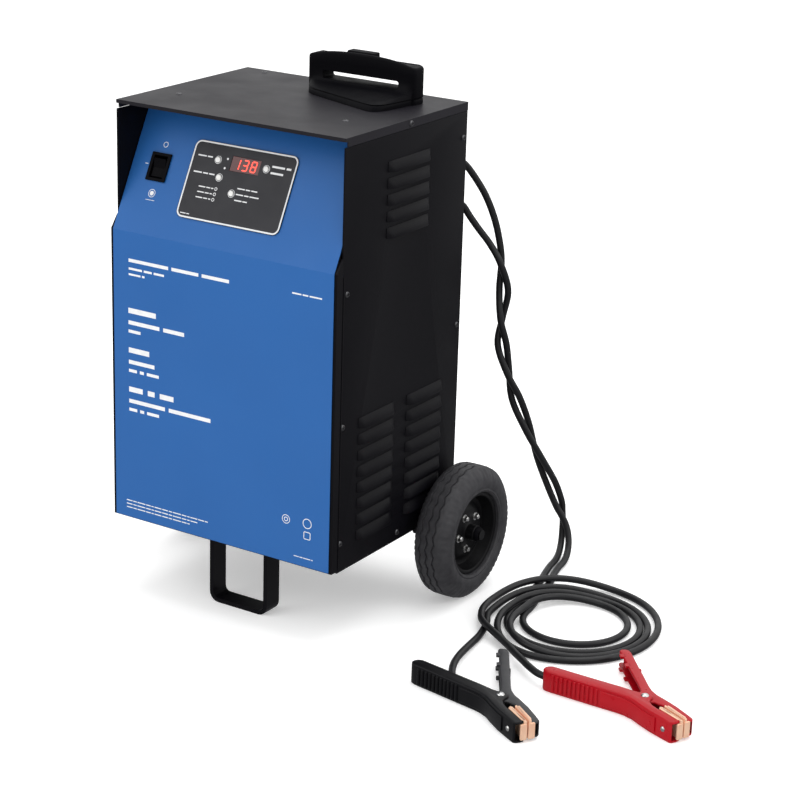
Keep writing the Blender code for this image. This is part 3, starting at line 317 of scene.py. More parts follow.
def cut(mesh, cutter, edge=0.0):
    """The mesh with a cutter's shape taken out, and its sharp edges rounded."""
    thing, tool = holder(mesh), holder(cutter)
    change = thing.modifiers.new("cut", "BOOLEAN")
    change.operation = "DIFFERENCE"
    change.solver = "EXACT"
    change.object = tool
    if edge:
        soften(thing, edge)
    result = seen_mesh(thing)
    bpy.data.objects.remove(tool, do_unlink=True)
    return result


def soften(thing, width, segments=2, angle=40):
    """Round a thing's sharp edges."""
    edge = thing.modifiers.new("rounded", "BEVEL")
    edge.width = width
    edge.segments = segments
    edge.limit_method = "ANGLE"
    edge.angle_limit = math.radians(angle)
    edge.harden_normals = True
    return thing


def arc(centre, radius, start, end, count):
    """Points of an arc in degrees, both ends included."""
    angles = [math.radians(start + (end - start) * i / (count - 1)) for i in range(count)]
    return [(centre[0] + radius * math.cos(a), centre[1] + radius * math.sin(a)) for a in angles]


def round_rectangle(low, high, radius, count=6):
    """A rectangle's outline with round corners."""
    (x0, y0), (x1, y1) = low, high
    return (
        arc((x1 - radius, y1 - radius), radius, 0, 90, count)
        + arc((x0 + radius, y1 - radius), radius, 90, 180, count)
        + arc((x0 + radius, y0 + radius), radius, 180, 270, count)
        + arc((x1 - radius, y0 + radius), radius, 270, 360, count)
    )


def screw_head(radius, height):
    """A pan head with a cross recess, standing on Z 0."""
    rings, sides = 14, 48
    verts, faces = [], []
    for ring in range(rings + 1):
        share = ring / rings
        for side in range(sides):
            a = math.tau * side / sides
            x, y = radius * share * math.cos(a), radius * share * math.sin(a)
            z = height * math.sqrt(max(0.0, 1 - share ** 4))
            arm = min(abs(x), abs(y)) < radius * 0.13 and max(abs(x), abs(y)) < radius * 0.62
            verts.append((x, y, z - height * 0.6 if arm else z))
    for ring in range(rings):
        for side in range(sides):
            here, beside = ring * sides + side, ring * sides + (side + 1) % sides
            faces.append((here, beside, beside + sides, here + sides))
    return mesh_of("screw", verts, faces)


# ---- Materials ----

def finish(name, colour, roughness, metallic=0.0):
    """A Principled material and its shader."""
    made = bpy.data.materials.new(name)
    made.use_nodes = True
    shader = made.node_tree.nodes["Principled BSDF"]
    shader.inputs["Base Color"].default_value = (*colour, 1.0)
    shader.inputs["Roughness"].default_value = roughness
    shader.inputs["Metallic"].default_value = metallic
    return made


def noise(made, size, detail=3.0):
    """Noise with features of one size in metres, on the piece's own coordinates."""
    nodes, links = made.node_tree.nodes, made.node_tree.links
    place = nodes.new("ShaderNodeTexCoord")
    pattern = nodes.new("ShaderNodeTexNoise")
    pattern.inputs["Scale"].default_value = 1.0 / size
    pattern.inputs["Detail"].default_value = detail
    links.new(place.outputs["Object"], pattern.inputs["Vector"])
    return pattern.outputs["Fac"]


def grain(made, size, depth, detail=3.0):
    """A fine bump over the whole surface, its size and depth in metres."""
    nodes, links = made.node_tree.nodes, made.node_tree.links
    bump = nodes.new("ShaderNodeBump")
    bump.inputs["Strength"].default_value = 1.0
    bump.inputs["Distance"].default_value = depth
    links.new(noise(made, size, detail), bump.inputs["Height"])
    links.new(bump.outputs["Normal"], nodes["Principled BSDF"].inputs["Normal"])
    return made


def uneven(made, size, low, high):
    """Roughness that drifts between two values, as handling leaves it."""
    nodes, links = made.node_tree.nodes, made.node_tree.links
    scale = nodes.new("ShaderNodeMapRange")
    scale.inputs["From Min"].default_value = 0.3
    scale.inputs["From Max"].default_value = 0.7
    scale.inputs["To Min"].default_value = low
    scale.inputs["To Max"].default_value = high
    links.new(noise(made, size), scale.inputs["Value"])
    links.new(scale.outputs["Result"], nodes["Principled BSDF"].inputs["Roughness"])
    return made


def tinted(made, size, first, second):
    """A base colour that drifts softly between two shades."""
    nodes, links = made.node_tree.nodes, made.node_tree.links
    ramp = nodes.new("ShaderNodeValToRGB")
    ramp.color_ramp.elements[0].position = 0.35
    ramp.color_ramp.elements[1].position = 0.65
    ramp.color_ramp.elements[0].color = (*first, 1.0)
    ramp.color_ramp.elements[1].color = (*second, 1.0)
    links.new(noise(made, size), ramp.inputs["Fac"])
    links.new(ramp.outputs["Color"], nodes["Principled BSDF"].inputs["Base Color"])
    return made


def gloss(made, level):
    """Set how strongly a surface reflects at its front."""
    made.node_tree.nodes["Principled BSDF"].inputs["Specular IOR Level"].default_value = level
    return made


def powder_coat():
    """Black powder coat: satin, with fine orange peel."""
    made = gloss(finish("powder_coat", (0.0030, 0.0028, 0.0042), 0.44), 0.11)
    uneven(made, 0.060, 0.38, 0.47)
    tinted(made, 0.030, (0.0028, 0.0026, 0.0040), (0.0032, 0.0030, 0.0044))
    return grain(made, 0.0011, 0.00002)


def lid_painted_sheen():
    """The lid's black powder coat, painted greyer than the sides to stand for the sheen that the light gives
    its top.
    """
    made = gloss(finish("lid_painted_sheen", (0.0110, 0.0102, 0.0136), 0.50), 0.18)
    uneven(made, 0.060, 0.42, 0.52)
    tinted(made, 0.040, (0.0105, 0.0097, 0.0131), (0.0115, 0.0107, 0.0141))
    return grain(made, 0.0011, 0.00004)


def wheel_paint():
    """Black paint on pressed steel."""
    made = gloss(finish("wheel_paint", (0.0032, 0.0032, 0.0038), 0.42), 0.16)
    uneven(made, 0.020, 0.32, 0.48)
    return grain(made, 0.0015, 0.00003)


def blue_print():
    """The blue printed sheet: satin, with a very fine texture."""
    made = gloss(finish("blue_print", (0.0150, 0.103, 0.330), 0.44), 0.24)
    tinted(made, 0.120, (0.0146, 0.101, 0.325), (0.0154, 0.105, 0.335))
    uneven(made, 0.050, 0.38, 0.47)
    return grain(made, 0.0007, 0.00001)


def lit_digits():
    """The display's lit segments."""
    made = finish("lit_digits", (0.900, 0.060, 0.040), 0.30)
    shader = made.node_tree.nodes["Principled BSDF"]
    shader.inputs["Emission Color"].default_value = (1.0, 0.060, 0.030, 1.0)
    shader.inputs["Emission Strength"].default_value = 1.6
    return uneven(made, 0.003, 0.25, 0.35)


def white_ink():
    """White printing ink."""
    made = finish("white_ink", (0.720, 0.730, 0.740), 0.50)
    tinted(made, 0.010, (0.690, 0.700, 0.715), (0.750, 0.755, 0.760))
    return uneven(made, 0.006, 0.45, 0.55)


def dark_screw():
    """Blackened steel of the screws."""
    made = finish("dark_screw", (0.090, 0.090, 0.095), 0.30, 0.9)
    uneven(made, 0.002, 0.24, 0.38)
    return grain(made, 0.0006, 0.00002)


def charcoal_print():
    """The dark printed overlay of the control panel."""
    made = gloss(finish("charcoal_print", (0.0180, 0.0180, 0.0220), 0.42), 0.25)
    uneven(made, 0.020, 0.36, 0.46)
    return grain(made, 0.0006, 0.00001)


def black_moulding():
    """Moulded black plastic with a fine spark-eroded grain."""
    made = gloss(finish("black_moulding", (0.0022, 0.0021, 0.0032), 0.52), 0.05)
    uneven(made, 0.015, 0.44, 0.56)
    return grain(made, 0.0006, 0.00004)


def white_moulding():
    """White plastic, very slightly warm."""
    made = finish("white_moulding", (0.780, 0.780, 0.760), 0.35)
    tinted(made, 0.004, (0.770, 0.770, 0.745), (0.800, 0.800, 0.785))
    return grain(made, 0.0004, 0.00001)


def red_window():
    """The tinted window over the digits."""
    made = finish("red_window", (0.070, 0.004, 0.004), 0.12)
    return uneven(made, 0.006, 0.08, 0.16)


def circuit_board():
    """Green solder resist over faint tracks."""
    made = finish("circuit_board", (0.010, 0.110, 0.040), 0.35)
    tinted(made, 0.002, (0.008, 0.090, 0.032), (0.016, 0.140, 0.055))
    return grain(made, 0.0015, 0.00004)


def core_steel():
    """Varnished laminations."""
    made = finish("core_steel", (0.110, 0.110, 0.115), 0.50, 0.8)
    tinted(made, 0.004, (0.090, 0.088, 0.088), (0.140, 0.136, 0.132))
    return grain(made, 0.0008, 0.00010)


def winding_copper():
    """Enamelled copper wire."""
    made = finish("winding_copper", (0.520, 0.210, 0.080), 0.32, 0.9)
    tinted(made, 0.003, (0.430, 0.160, 0.060), (0.580, 0.250, 0.100))
    return grain(made, 0.0012, 0.00020)


def jaw_copper():
    """Bright copper sheet with fine rolling marks."""
    made = finish("jaw_copper", (0.900, 0.560, 0.380), 0.34, 0.45)
    tinted(made, 0.012, (0.870, 0.520, 0.350), (0.920, 0.600, 0.420))
    uneven(made, 0.006, 0.30, 0.40)
    return grain(made, 0.0010, 0.000004)


def cast_aluminium():
    """The rectifier's extruded heat sink."""
    made = finish("cast_aluminium", (0.560, 0.560, 0.580), 0.38, 1.0)
    uneven(made, 0.004, 0.30, 0.46)
    return grain(made, 0.0010, 0.00003)


def zinc_plate():
    """Bright zinc plating, slightly cloudy."""
    made = finish("zinc_plate", (0.620, 0.620, 0.610), 0.28, 1.0)
    tinted(made, 0.004, (0.560, 0.565, 0.570), (0.680, 0.675, 0.650))
    uneven(made, 0.003, 0.22, 0.38)
    return grain(made, 0.0006, 0.00002)


def tyre_rubber():
    """Dull tyre rubber with a little dust in it."""
    made = finish("tyre_rubber", (0.0220, 0.0215, 0.0250), 0.62)
    tinted(made, 0.010, (0.0180, 0.0175, 0.0210), (0.0280, 0.0275, 0.0310))
    uneven(made, 0.008, 0.55, 0.72)
    return grain(made, 0.0012, 0.00012)


def cable_jacket():
    """The cables' black rubber jacket."""
    made = gloss(finish("cable_jacket", (0.0062, 0.0062, 0.0074), 0.38), 0.35)
    uneven(made, 0.010, 0.34, 0.48)
    return grain(made, 0.0012, 0.00006)


def red_moulding():
    """The red clamp's glossy moulding."""
    made = gloss(finish("red_moulding", (0.385, 0.0015, 0.0080), 0.30), 0.25)
    tinted(made, 0.020, (0.375, 0.0014, 0.0076), (0.395, 0.0016, 0.0084))
    uneven(made, 0.010, 0.27, 0.35)
    return grain(made, 0.0008, 0.000006)


def black_clamp_moulding():
    """The black clamp's moulding."""
    made = gloss(finish("black_clamp_moulding", (0.0034, 0.0034, 0.0044), 0.34), 0.20)
    tinted(made, 0.020, (0.0031, 0.0031, 0.0041), (0.0037, 0.0037, 0.0047))
    uneven(made, 0.010, 0.30, 0.40)
    return grain(made, 0.0008, 0.000006)


def grey_clamp_moulding():
    """The black clamp's short arm, a shade greyer than its long one."""
    made = gloss(finish("grey_clamp_moulding", (0.0260, 0.0260, 0.0290), 0.40), 0.40)
    tinted(made, 0.020, (0.0240, 0.0240, 0.0270), (0.0280, 0.0280, 0.0310))
    uneven(made, 0.010, 0.36, 0.46)
    return grain(made, 0.0008, 0.000006)


LOOKS = {
    "black_steel": powder_coat(),
    "wheel_steel": wheel_paint(),
    "blue_film": blue_print(),
    "charcoal_film": charcoal_print(),
    "black_plastic": black_moulding(),
    "white_plastic": white_moulding(),
    "red_window": red_window(),
    "circuit_board": circuit_board(),
    "core_steel": core_steel(),
    "winding_copper": winding_copper(),
    "jaw_copper": jaw_copper(),
    "aluminium": cast_aluminium(),
    "zinc": zinc_plate(),
    "tyre_rubber": tyre_rubber(),
    "cable_jacket": cable_jacket(),
    "red_clamp_plastic": red_moulding(),
    "black_clamp_plastic": black_clamp_moulding(),
}
# The lid's material is a lighter copy of the black powder coat, with the top's sheen painted into its colour
LID_PAINTED_SHEEN, DIGITS, INK, SCREW = lid_painted_sheen(), lit_digits(), white_ink(), dark_screw()
GREY_ARM = grey_clamp_moulding()


# The CAD nodes that are seen as they are, and how far their edges are rounded
SOFT_EDGES = {
    "base_pan": 0.0006, "back_panel": 0.0006, "front_panel": 0.0007, "top_cover": 0.0009,
    "control_panel": 0.0003, "display_window": 0.0002, "rocker_housing": 0.0005, "power_rocker": 0.0005,
    "fan_frame": 0.0006, "mains_inlet": 0.0006, "foot_bracket": 0.0010, "axle_bracket_left": 0.0005,
    "axle_bracket_right": 0.0005, "handle_button": 0.0006, "rate_button": 0.0003, "timer_button": 0.0003,
    "start_button": 0.0003, "mode_button": 0.0003, "rectifier_plate": 0.0004, "transformer_core": 0.0006,
    "front_film": 0.0002,
}


def dress_cad_nodes():
    """Give every CAD node the finish of its own material slot, and soft edges to those that are seen."""
    for part in frame["record"]["subparts"]:
        node = frame["nodes"][part["node"]]
        node.data.materials.clear()
        node.data.materials.append(LOOKS[part["material_slot"]])
    # The lid takes the lighter copy of the powder coat, its sheen painted in
    frame["nodes"]["top_cover"].data.materials[0] = LID_PAINTED_SHEEN
    frame["nodes"]["axle"].data.materials[0] = LOOKS["wheel_steel"]
    for name, width in SOFT_EDGES.items():
        node = frame["nodes"][name]
        weld = node.modifiers.new("weld", "WELD")
        weld.merge_threshold = 0.00001
        flat = node.modifiers.new("flat", "DECIMATE")
        flat.decimate_type = "DISSOLVE"
        flat.angle_limit = math.radians(1)
        soften(node, width)


# ---- Cables ----

def eased(share):
    """A share held between 0 and 1 that starts and ends gently."""
    share = min(1.0, max(0.0, share))
    return share * share * (3 - 2 * share)


def ring_radius(ring, degrees):
    """How far one of the coil's rings is from the middle at an angle."""
    mean, swell, toward, lobes = ring
    return mean + swell * math.cos(math.radians(lobes * (degrees - toward)))


def coil_radius(colour, degrees):
    """How far a cable is from the coil's middle when it has wound to an angle."""
    (start, entry), (end, leaves) = COIL_ENTRY[colour], COIL_EXIT[colour]
    inner, outer = COIL_RINGS[colour]
    widened = eased((degrees - WIDENING[0]) / (WIDENING[1] - WIDENING[0]))
    radius = ring_radius(inner, degrees) * (1 - widened) + ring_radius(outer, degrees) * widened
    unsettled = max(0.0, 1 - (degrees - start) / SETTLING) ** 3
    leaving = eased(1 - (end - degrees) / LEAVING)
    return radius + (entry - radius) * unsettled + (leaves - radius) * leaving


def coil_line(colour):
    """A cable's turns in the coil, seen from above, at every 15 degrees."""
    start, end = COIL_ENTRY[colour][0], COIL_EXIT[colour][0]
    line = []
    for degrees in range(start, end + 1, COIL_DEGREES):
        angle, radius = math.radians(degrees), coil_radius(colour, degrees)
        x = COIL_CENTRE[0] + radius * math.cos(angle)
        y = COIL_CENTRE[1] + radius * math.sin(angle)
        line.append(Vector((x, y, REST_Z)))
    return line


def round_bend(start, corner, end, radius):
    """Points of a round bend that takes a line round a corner."""
    start, corner, end = Vector(start), Vector(corner), Vector(end)
    back, on = (start - corner).normalized(), (end - corner).normalized()
    half_turn = (math.pi - back.angle(on)) / 2
    middle = corner + (back + on).normalized() * radius / math.cos(half_turn)
    first = corner + back * radius * math.tan(half_turn)
    axis = (first - middle).cross(-back)
    return [middle + Matrix.Rotation(2 * half_turn * i / 6, 3, axis) @ (first - middle) for i in range(7)]


def hang_route(colour):
    """A cable's route from its gland, down its side of the twisted pair and round onto the floor."""
    bend = round_bend(TWIST_LINE[-1][:3], LANDING_CORNER, FLOOR_LINE[0][:3], LANDING_RADIUS)
    middle = [Vector(p[:3]) for p in TWIST_LINE] + bend + [Vector(p[:3]) for p in FLOOR_LINE]
    turns = [p[3] for p in TWIST_LINE] + list(BEND_TURNS) + [p[3] for p in FLOOR_LINE]
    reach = PAIR_RADIUS if colour == "red" else -PAIR_RADIUS
    strand = []
    for i, (here, turn) in enumerate(zip(middle, turns)):
        ahead = (middle[min(i + 1, len(middle) - 1)] - middle[max(i - 1, 0)]).normalized()
        near = ahead.cross(PAIR_ACROSS).normalized()
        across = near.cross(ahead)
        angle = math.radians(turn)
        strand.append(here + reach * (across * math.cos(angle) + near * math.sin(angle)))
    return [Vector(p) for p in LEAD_IN[colour]] + strand


def spaced(line, step):
    """The same line with its points an even step apart."""
    total = sum((q - p).length for p, q in zip(line, line[1:]))
    count = max(2, round(total / step))
    points, walked, target = [line[0]], 0.0, total / count
    for p, q in zip(line, line[1:]):
        span = (q - p).length
        while walked + span >= target - 1e-9 and len(points) < count:
            points.append(p.lerp(q, (target - walked) / span))
            target += total / count
        walked += span
    return points + [line[-1]]


def wound(line):
    """How far round the coil each point of a line has gone, in whole turns from where the line lands."""
    turns, last, total = [], None, 0.0
    for point in line:
        angle = math.atan2(point.y - COIL_CENTRE[1], point.x - COIL_CENTRE[0])
        if last is not None:
            total += (angle - last + math.pi) % math.tau - math.pi
        last = angle
        turns.append(total / math.tau)
    return turns


def smeared(lifts, reach):
    """Lifts spread into long low humps that still reach each of them."""
    count = len(lifts)
    wide = [max(lifts[max(0, i - reach // 2):i + reach // 2 + 1]) for i in range(count)]
    humps = []
    for i in range(count):
        window = wide[max(0, i - reach):i + reach + 1]
        humps.append(max(lifts[i], sum(window) / len(window)))
    return humps


def lay_down(lines):
    """Raise each cable where it crosses what was laid before it. Both cables are laid together, a turn of
    the black one and then the same turn of the red one."""
    diameter = 2 * CABLE_RADIUS - 0.0002
    apart = round(0.050 / COIL_STEP)
    reach = round(HUMP_REACH / COIL_STEP)
    base = {colour: [p.z for p in line] for colour, line in lines.items()}
    order = sorted(
        (math.floor(turn), colour != "black", i, colour)
        for colour, line in lines.items() for i, turn in enumerate(wound(line)) if base[colour][i] < 0.02
    )
    for _ in range(4):
        lifts = {colour: [p.z - low for p, low in zip(line, base[colour])] for colour, line in lines.items()}
        laid = []
        for _, _, i, colour in order:
            here = lines[colour][i]
            for other, k, below in laid:
                across = (here.xy - below.xy).length
                if across < diameter and (other != colour or abs(i - k) > apart):
                    height = below.z + math.sqrt(diameter ** 2 - across ** 2)
                    lifts[colour][i] = max(lifts[colour][i], height - base[colour][i])
            laid.append((colour, i, here))
        for colour, line in lines.items():
            for point, low, lift in zip(line, base[colour], smeared(lifts[colour], reach)):
                point.z = low + lift
    return lines


def cable_lines():
    """Each cable's whole centreline: down from its gland, round the coil and out to its clamp."""
    lines = {}
    for colour in ("red", "black"):
        keys = hang_route(colour) + coil_line(colour) + TAIL_ROUTES[colour]
        lines[colour] = spaced(through(keys, COIL_STEP / 2), COIL_STEP)
    return lines


def cable(colour, line):
    """One cable from its gland to its clamp, as a curve."""
    drawing = bpy.data.curves.new(f"{colour}_cable", "CURVE")
    drawing.dimensions = "3D"
    drawing.bevel_depth = CABLE_RADIUS
    drawing.bevel_resolution = 5
    drawing.use_fill_caps = True
    spline = drawing.splines.new("POLY")
    spline.points.add(len(line) - 1)
    for point, place in zip(spline.points, line):
        point.co = (*place, 1.0)
    spline.use_smooth = True
    thing = shown(f"{colour}_cable", drawing, LOOKS["cable_jacket"])
    return placed(
        thing, "cabinet", "cable_jacket", f"{colour}_cable_hang", f"{colour}_cable_tail", "cable_coil"
    )


def cables():
    """Both cables, laid down together."""
    for colour, line in lay_down(cable_lines()).items():
        thing = cable(colour, line)


# ---- Cabinet ----

def louvre_hood(front, back, mouth):
    """One pressed hood, open downwards, its ends running out into the sheet. X is outwards, Y along, Z up."""
    rows, height, out, run = 7, 0.0115, 0.0050, 0.0075
    verts, faces = [], []
    for row in range(rows):
        t = row / (rows - 1)
        bulge = out * math.sin(math.radians(90 * t)) ** 0.9
        z = mouth + height * (1 - t)
        verts += [
            (0.0, front, z), (bulge * 0.55, front + run * 0.45, z), (bulge, front + run, z),
            (bulge, back - run, z), (bulge * 0.55, back - run * 0.45, z), (0.0, back, z),
        ]
    for row in range(rows - 1):
        for column in range(5):
            here = row * 6 + column
            faces.append((here, here + 1, here + 7, here + 6))
    mesh = bpy.data.meshes.new("hood")
    mesh.from_pydata(verts, [], faces)
    thing = holder(mesh)
    skin = thing.modifiers.new("skin", "SOLIDIFY")
    skin.thickness = 0.0010
    skin.offset = 0.0
    return seen_mesh(thing)


def side_panels():
    """The two side panels: a sheet with its openings, and a pressed hood over each."""
    wall = HALF_WIDTH - SIDE_GAP
    for name, side in (("left", -1), ("right", 1)):
        across = Matrix(((0, 0, side, 0), (1, 0, 0, 0), (0, 1, 0, 0), (0, 0, 0, 1)))
        low_z, top = BOTTOM_Z + 0.0005, TOP_Z - 0.0100
        outline = [(FRONT_Y, low_z), (BACK_Y, low_z), (BACK_Y, top), (FRONT_Y, top)]
        holes, hoods = [], []
        for front, back, first, pitch, count in LOUVRE_BLOCKS:
            for row in range(count):
                mouth = first + row * pitch
                low, high = (front + 0.006, mouth), (back - 0.006, mouth + 0.007)
                holes.append([low, (high[0], low[1]), high, (low[0], high[1])])
                hood = louvre_hood(front, back, mouth)
                hood.transform(Matrix.Translation((side * wall, 0, 0)) @ Matrix.Scale(side, 4, (1, 0, 0)))
                hoods.append(hood)
        sheet = drawn([outline] + holes, wall - SIDE_SHEET, wall, 0.0003, across, 1)
        lip = sorted((side * (wall - 2 * SIDE_SHEET + 0.0003), side * (wall - SIDE_SHEET + 0.0003)))
        flange = block((lip[0], -0.0620, top - 0.010), (lip[1], BACK_Y - 0.02, TOP_Z - 0.003))
        mesh = merged("side_panel", [sheet, flange, *hoods])
        panel = shown(f"side_panel_{name}_seen", mesh, LOOKS["black_steel"])
        placed(panel, "cabinet", "black_steel", f"side_panel_{name}")


def cabinet_screws():
    """The screws that hold the side panels and the lid, all on one pattern."""
    head = screw_head(0.0034, 0.0016)
    side_places = [
        (-0.1315, 0.4025), (-0.1345, 0.2560), (-0.1350, 0.1230), (-0.0205, 0.0990),
        (0.0925, 0.5300), (0.0925, 0.3150), (0.0925, 0.1050),
    ]
    screws = []
    for side in (-1, 1):
        turn = Matrix.Rotation(math.radians(90 * side), 4, "Y")
        for y, z in side_places:
            screws.append(at(head, Matrix.Translation((side * (HALF_WIDTH - SIDE_GAP), y, z)) @ turn))
        screws.append(at(head, Matrix.Translation((side * HALF_WIDTH, -0.0165, TOP_Z - 0.0048)) @ turn))
    for x, y in ((-0.115, -0.0745), (0.102, -0.0695), (-0.116, 0.0860)):
        screws.append(at(head, Matrix.Translation((x, y, TOP_Z - 0.0002))))
    back = Matrix.Rotation(math.radians(-90), 4, "X")
    for x in (-0.138, 0.138):
        for z in (0.125, 0.330, 0.540):
            screws.append(at(head, Matrix.Translation((x, BACK_Y, z)) @ back))
    for x in (-0.105, -0.025):
        for z in (0.395, 0.475):
            screws.append(at(head, Matrix.Translation((x, BACK_Y, z)) @ back))
    thing = shown("cabinet_screws", merged("cabinet_screws", screws), SCREW)
    placed(thing, "cabinet", "black_steel")


def seams():
    """The pressed seam at the front of each side."""
    for name, side in (("left", -1), ("right", 1)):
        x = sorted((side * (HALF_WIDTH - SIDE_GAP), side * (HALF_WIDTH + 0.0004)))
        strip = block((x[0], FRONT_Y + 0.0006, BOTTOM_Z + 0.004), (x[1], FRONT_Y + 0.0024, KINK_Z - 0.006))
        thing = soften(shown(f"side_seam_{name}", strip, LOOKS["black_steel"]), 0.0003)
        placed(thing, "cabinet", "black_steel")


# ---- Printing ----

def line_of_print(x0, x1, y, height):
    """One line of small print as plain bars, one for each word."""
    letter, bar = height * SMALL_LETTER_WIDTH, height * SMALL_BAR_HALF
    cells, x, turn = [], x0, 0
    while x + letter < x1:
        end = min(x + WORD_LENGTHS[turn % len(WORD_LENGTHS)] * letter, x1)
        cells.append(((x, y - bar), (end, y + bar)))
        x = end + letter * SMALL_WORD_GAP
        turn += 1
    return cells


def line_of_words(x0, y, height, words):
    """One line of larger print as plain bars, one for each word, from the words' lengths in letters."""
    cells, x = [], x0
    for length in words:
        end = x + length * height * LETTER_WIDTH
        cells.append(((x, y + height * BAR_BOTTOM), (end, y + height * BAR_TOP)))
        x = end + height * WORD_GAP
    return cells


def printed(name, cells, place, outlines=()):
    """A sheet of ink that lies a hair above its surface."""
    bars = [[[low, (high[0], low[1]), high, (low[0], high[1])]] for low, high in cells]
    sheets = [drawn(rings, 0.0, INK_LIFT, 0.0, place) for rings in [*bars, *outlines]]
    thing = shown(name, merged(name, sheets), INK)
    placed(thing, "cabinet", "white_plastic")


def ring_of(centre, outer, inner, count=28):
    """A round line, as an outline and its hole."""
    return [arc(centre, outer, 0, 360 - 360 / count, count), arc(centre, inner, 0, 360 - 360 / count, count)]


def frame_of(low, high, radius, width):
    """A rectangular line with round corners, as an outline and its hole."""
    inner_low, inner_high = (low[0] + width, low[1] + width), (high[0] - width, high[1] - width)
    return [round_rectangle(low, high, radius), round_rectangle(inner_low, inner_high, radius - width)]


def front_print():
    """Generic marks on the blue face: a title, three groups of ratings, small print and icons."""
    cells = line_of_words(-0.1250, 0.3925, 0.0076, (9, 6, 6))
    y = 0.3330
    for bold, plain, small in RATING_LINES:
        cells += line_of_words(-0.1260, y, 0.0120, bold)
        cells += line_of_words(-0.1260, y - 0.0124, 0.0090, plain)
        cells += line_of_words(-0.1260, y - 0.0216, 0.0070, small)
        y -= RATING_PITCH
    cells += line_of_print(-0.1250, -0.0760, 0.3865, 0.0050)
    cells += line_of_print(-0.1250, -0.1030, 0.3800, 0.0044)
    cells += line_of_print(0.0940, 0.1320, 0.3990, 0.0032)
    for row in range(3):
        cells += line_of_print(-0.1310, -0.0160 - row * 0.012, 0.1130 - row * 0.0042, 0.0022)
    cells += line_of_print(0.1010, 0.1260, 0.1030, 0.0018)
    outlines = [
        ring_of((0.0900, 0.1430), 0.0052, 0.0045), ring_of((0.0900, 0.1430), 0.0026, 0.0018),
        ring_of((0.1180, 0.1440), 0.0058, 0.0050),
        frame_of((0.1135, 0.1255), (0.1225, 0.1345), 0.0015, 0.0008),
    ]
    printed("front_print", cells, FACE, outlines)


def slope_print():
    """The marks on the slope beside the power switch."""
    cells = line_of_print(-0.1290, -0.1250, 0.0780, 0.0016)
    outlines = [
        ring_of((-0.1090, 0.1020), 0.0032, 0.0025), [arc((-0.1090, 0.0465), 0.0026, 0, 347, 28)],
        ring_of((-0.1090, 0.0465), 0.0046, 0.0040),
    ]
    cells.append(((-0.1150, 0.0385), (-0.1030, 0.0390)))
    printed("slope_print", cells, SLOPE, outlines)


def control_print():
    """The control panel's white border, its labels and its lamps."""
    place = SLOPE @ Matrix.Translation((0, 0, 0.0015))
    low, high = (-0.0695, 0.0270), (0.0665, 0.1145)
    inset = 0.0004
    border_low, border_high = (low[0] + inset, low[1] + inset), (high[0] - inset, high[1] - inset)
    cells, outlines = [], [frame_of(border_low, border_high, 0.0078, 0.0017)]
    labels = [
        (-0.0620, -0.0410, 0.0975, 0.0030), (-0.0620, -0.0340, 0.0790, 0.0030),
        (0.0355, 0.0600, 0.0990, 0.0044), (0.0355, 0.0560, 0.0920, 0.0044),
        (0.0000, 0.0260, 0.0690, 0.0026), (0.0000, 0.0300, 0.0625, 0.0026),
        (0.0000, 0.0200, 0.0560, 0.0026), (-0.0640, -0.0520, 0.0320, 0.0020),
    ]
    for x0, x1, y, height in labels:
        cells += line_of_print(x0, x1, y, height)
    for x, y in ((-0.0270, 0.0640), (-0.0270, 0.0580), (-0.0270, 0.0520)):
        outlines.append(ring_of((x, y), 0.0019, 0.0012, 20))
        cells += line_of_print(x - 0.0230, x - 0.0035, y, 0.0024)
    for place_of in ((-0.0347, 0.0957), (-0.0272, 0.0770), (0.0290, 0.0951), (-0.0060, 0.0623)):
        outlines.append(ring_of(place_of, 0.0044, 0.0039, 36))
    for centre in ((-0.0228, 0.0985), (-0.0236, 0.0880)):
        outlines.append([arc(centre, 0.0012, 0, 342, 20)])
    printed("control_print", cells, place, outlines)


SEGMENTS = {
    "top": ((-1, 2), (1, 2)), "middle": ((-1, 0), (1, 0)), "bottom": ((-1, -2), (1, -2)),
    "upper_left": ((-1, 0), (-1, 2)), "upper_right": ((1, 0), (1, 2)),
    "lower_left": ((-1, -2), (-1, 0)), "lower_right": ((1, -2), (1, 0)),
}
UNLIT = {
    1: ("top", "middle", "bottom", "upper_left", "lower_left"),
    3: ("upper_left", "lower_left"),
    8: (),
}


def digits():
    """The three lit digits, just proud of their window."""
    place = SLOPE @ Matrix.Translation((0.0015, 0.0946, 0.00112))
    bars = []
    for column, digit in enumerate((1, 3, 8)):
        middle = Vector(((column - 1) * 0.0108, 0.0))
        for name, ends in SEGMENTS.items():
            if name in UNLIT[digit]:
                continue
            a, b = [middle + Vector((x * 0.0030 + y * 0.0002, y * 0.0028)) for x, y in ends]
            along = (b - a).normalized()
            aside = Vector((-along.y, along.x)) * 0.00065
            a, b = a + along * 0.0006, b - along * 0.0006
            tip = along * 0.00055
            outline = [a - tip, a - aside, b - aside, b + tip, b + aside, a + aside]
            bars.append(drawn([outline], 0.0, 0.00008, 0.0, place))
    thing = shown("display_digits", merged("display_digits", bars), DIGITS)
    placed(thing, "cabinet", "red_window")


# ---- Wheels ----

def wheel_frame(side):
    """A wheel's own frame: Z along the axle, outwards."""
    turn = Matrix.Rotation(math.radians(90 * side), 4, "Y")
    return Matrix.Translation((side * WHEEL_X, AXLE_Y, WHEEL_RADIUS)) @ turn


